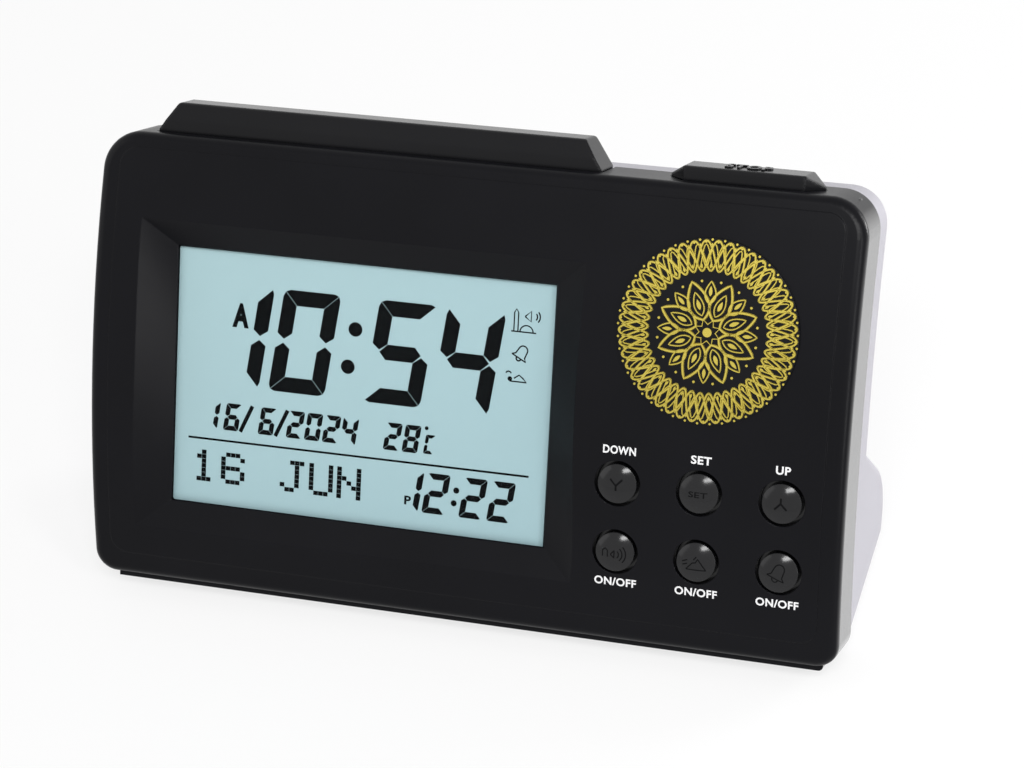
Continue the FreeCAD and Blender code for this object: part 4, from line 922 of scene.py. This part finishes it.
# %% The room
def light_path_sum(bench):
    """1 for what the camera, a gloss or a clear part sees, and 0 for plain light."""
    seen = [bench.node("ShaderNodeLightPath", out=name) for name in (
        "Is Camera Ray", "Is Glossy Ray", "Is Transmission Ray")]
    return (seen[0] + seen[1] + seen[2]).clip()


ROOM_LIGHT = 0.5
room_world = bpy.data.worlds.new("room_white")
room_world.use_nodes = True
bpy.context.scene.world = room_world
air = Bench(room_world.node_tree)
background = room_world.node_tree.nodes["Background"]
air.feed(background.inputs["Color"], (1.0, 1.0, 1.0))
air.feed(background.inputs["Strength"], light_path_sum(air) * (1 - ROOM_LIGHT) + ROOM_LIGHT)

floor_white = Finish("floor_white")
floor_cloud = floor_white.clouds(300.0)
floor_white.set(Base_Color=floor_white.mix(floor_cloud, (0.90, 0.90, 0.90), (0.93, 0.93, 0.93)))
floor_white.set(Roughness=0.9, Specular_IOR_Level=0.0)
glow = floor_white.node("ShaderNodeEmission", None, {"Color": (1.0, 1.0, 1.0), "Strength": 1.0})
plain = Wire(floor_white, floor_white.shader.outputs[0])
FLOOR_GLOW = 0.75
shown = floor_white.node("ShaderNodeMixShader", None, {
    0: light_path_sum(floor_white) * FLOOR_GLOW, 1: plain, 2: glow})
floor_white.feed(floor_white.tree.nodes["Material Output"].inputs["Surface"], shown)

floor_mesh = bpy.data.meshes.new("floor")
floor_work = bmesh.new()
bmesh.ops.create_circle(floor_work, cap_ends=True, segments=64, radius=4.0)
floor_work.to_mesh(floor_mesh)
floor_work.free()
floor_mesh.materials.append(floor_white.material)
floor = bpy.data.objects.new("floor", floor_mesh)
bpy.context.scene.collection.objects.link(floor)
print("room light:", ROOM_LIGHT, "floor glow:", FLOOR_GLOW)

# %% [markdown]
# ## Lamps
# Black plastic shows its shape by what it mirrors, so the lamps are placed for their reflections. A
# small wide lamp above and in front puts the highlight on the keys, and a tall narrow one draws the
# line along the right edge. One behind on the right lights the side, and a large weak one fills the
# left. Area lamps are used because a point of light would give hard dots.

# %% The lamps
def lamp(name, direction, distance, wide, tall, watts):
    """A soft lamp that looks at the clock from that direction."""
    data = bpy.data.lights.new(name, "AREA")
    data.shape, data.size, data.size_y, data.energy = "RECTANGLE", wide, tall, watts
    made = bpy.data.objects.new(name, data)
    bpy.context.scene.collection.objects.link(made)
    away = Vector(direction).normalized()
    made.location = Vector((0, 0, 0.045)) + away * distance
    made.rotation_euler = away.to_track_quat("Z", "Y").to_euler()
    made.visible_camera = False
    print(name, "at", tuple(round(value, 2) for value in made.location))


lamp("lamp_front", (0.24, -0.57, 0.78), 0.9, 0.36, 0.15, 3.6)
lamp("lamp_strip", (0.74, -0.50, 0.42), 0.9, 0.10, 0.8, 2.6)
lamp("lamp_side", (0.80, 0.58, 0.10), 0.9, 0.35, 0.7, 7.0)
lamp("lamp_left", (-0.8, -0.3, 0.5), 1.2, 0.8, 0.8, 1.6)

# %% [markdown]
# ## The camera
# The camera stands to the right of the clock's middle and above it, and it is turned a little
# about its own line of sight. Its place and its lens come from the clock's known points, so the
# outline falls where it should.

# %% Camera
CAMERA_PLACE = Vector((0.1749, -0.432995, 0.411067))
FOCAL_LENGTH, SENSOR_WIDTH = 109.24, 36.0
AZIMUTH, ELEVATION, ROLL = (math.radians(a) for a in (21.26, 38.55, -7.08))
forward = Vector((
    -math.sin(AZIMUTH) * math.cos(ELEVATION),
    math.cos(AZIMUTH) * math.cos(ELEVATION),
    -math.sin(ELEVATION),
))
level = Vector((math.cos(AZIMUTH), math.sin(AZIMUTH), 0))
upright = level.cross(forward)
right = level * math.cos(ROLL) + upright * math.sin(ROLL)
up = right.cross(forward)
camera_data = bpy.data.cameras.new("camera")
camera_data.lens, camera_data.sensor_width = FOCAL_LENGTH, SENSOR_WIDTH
camera_data.clip_start, camera_data.clip_end = 0.01, 20.0
camera = bpy.data.objects.new("camera", camera_data)
bpy.context.scene.collection.objects.link(camera)
turn = Matrix((right, up, -forward)).transposed().to_4x4()
camera.matrix_world = Matrix.Translation(CAMERA_PLACE) @ turn
bpy.context.scene.camera = camera
bpy.context.scene.view_settings.view_transform = "Standard"
print("camera looks along", tuple(round(value, 3) for value in forward))
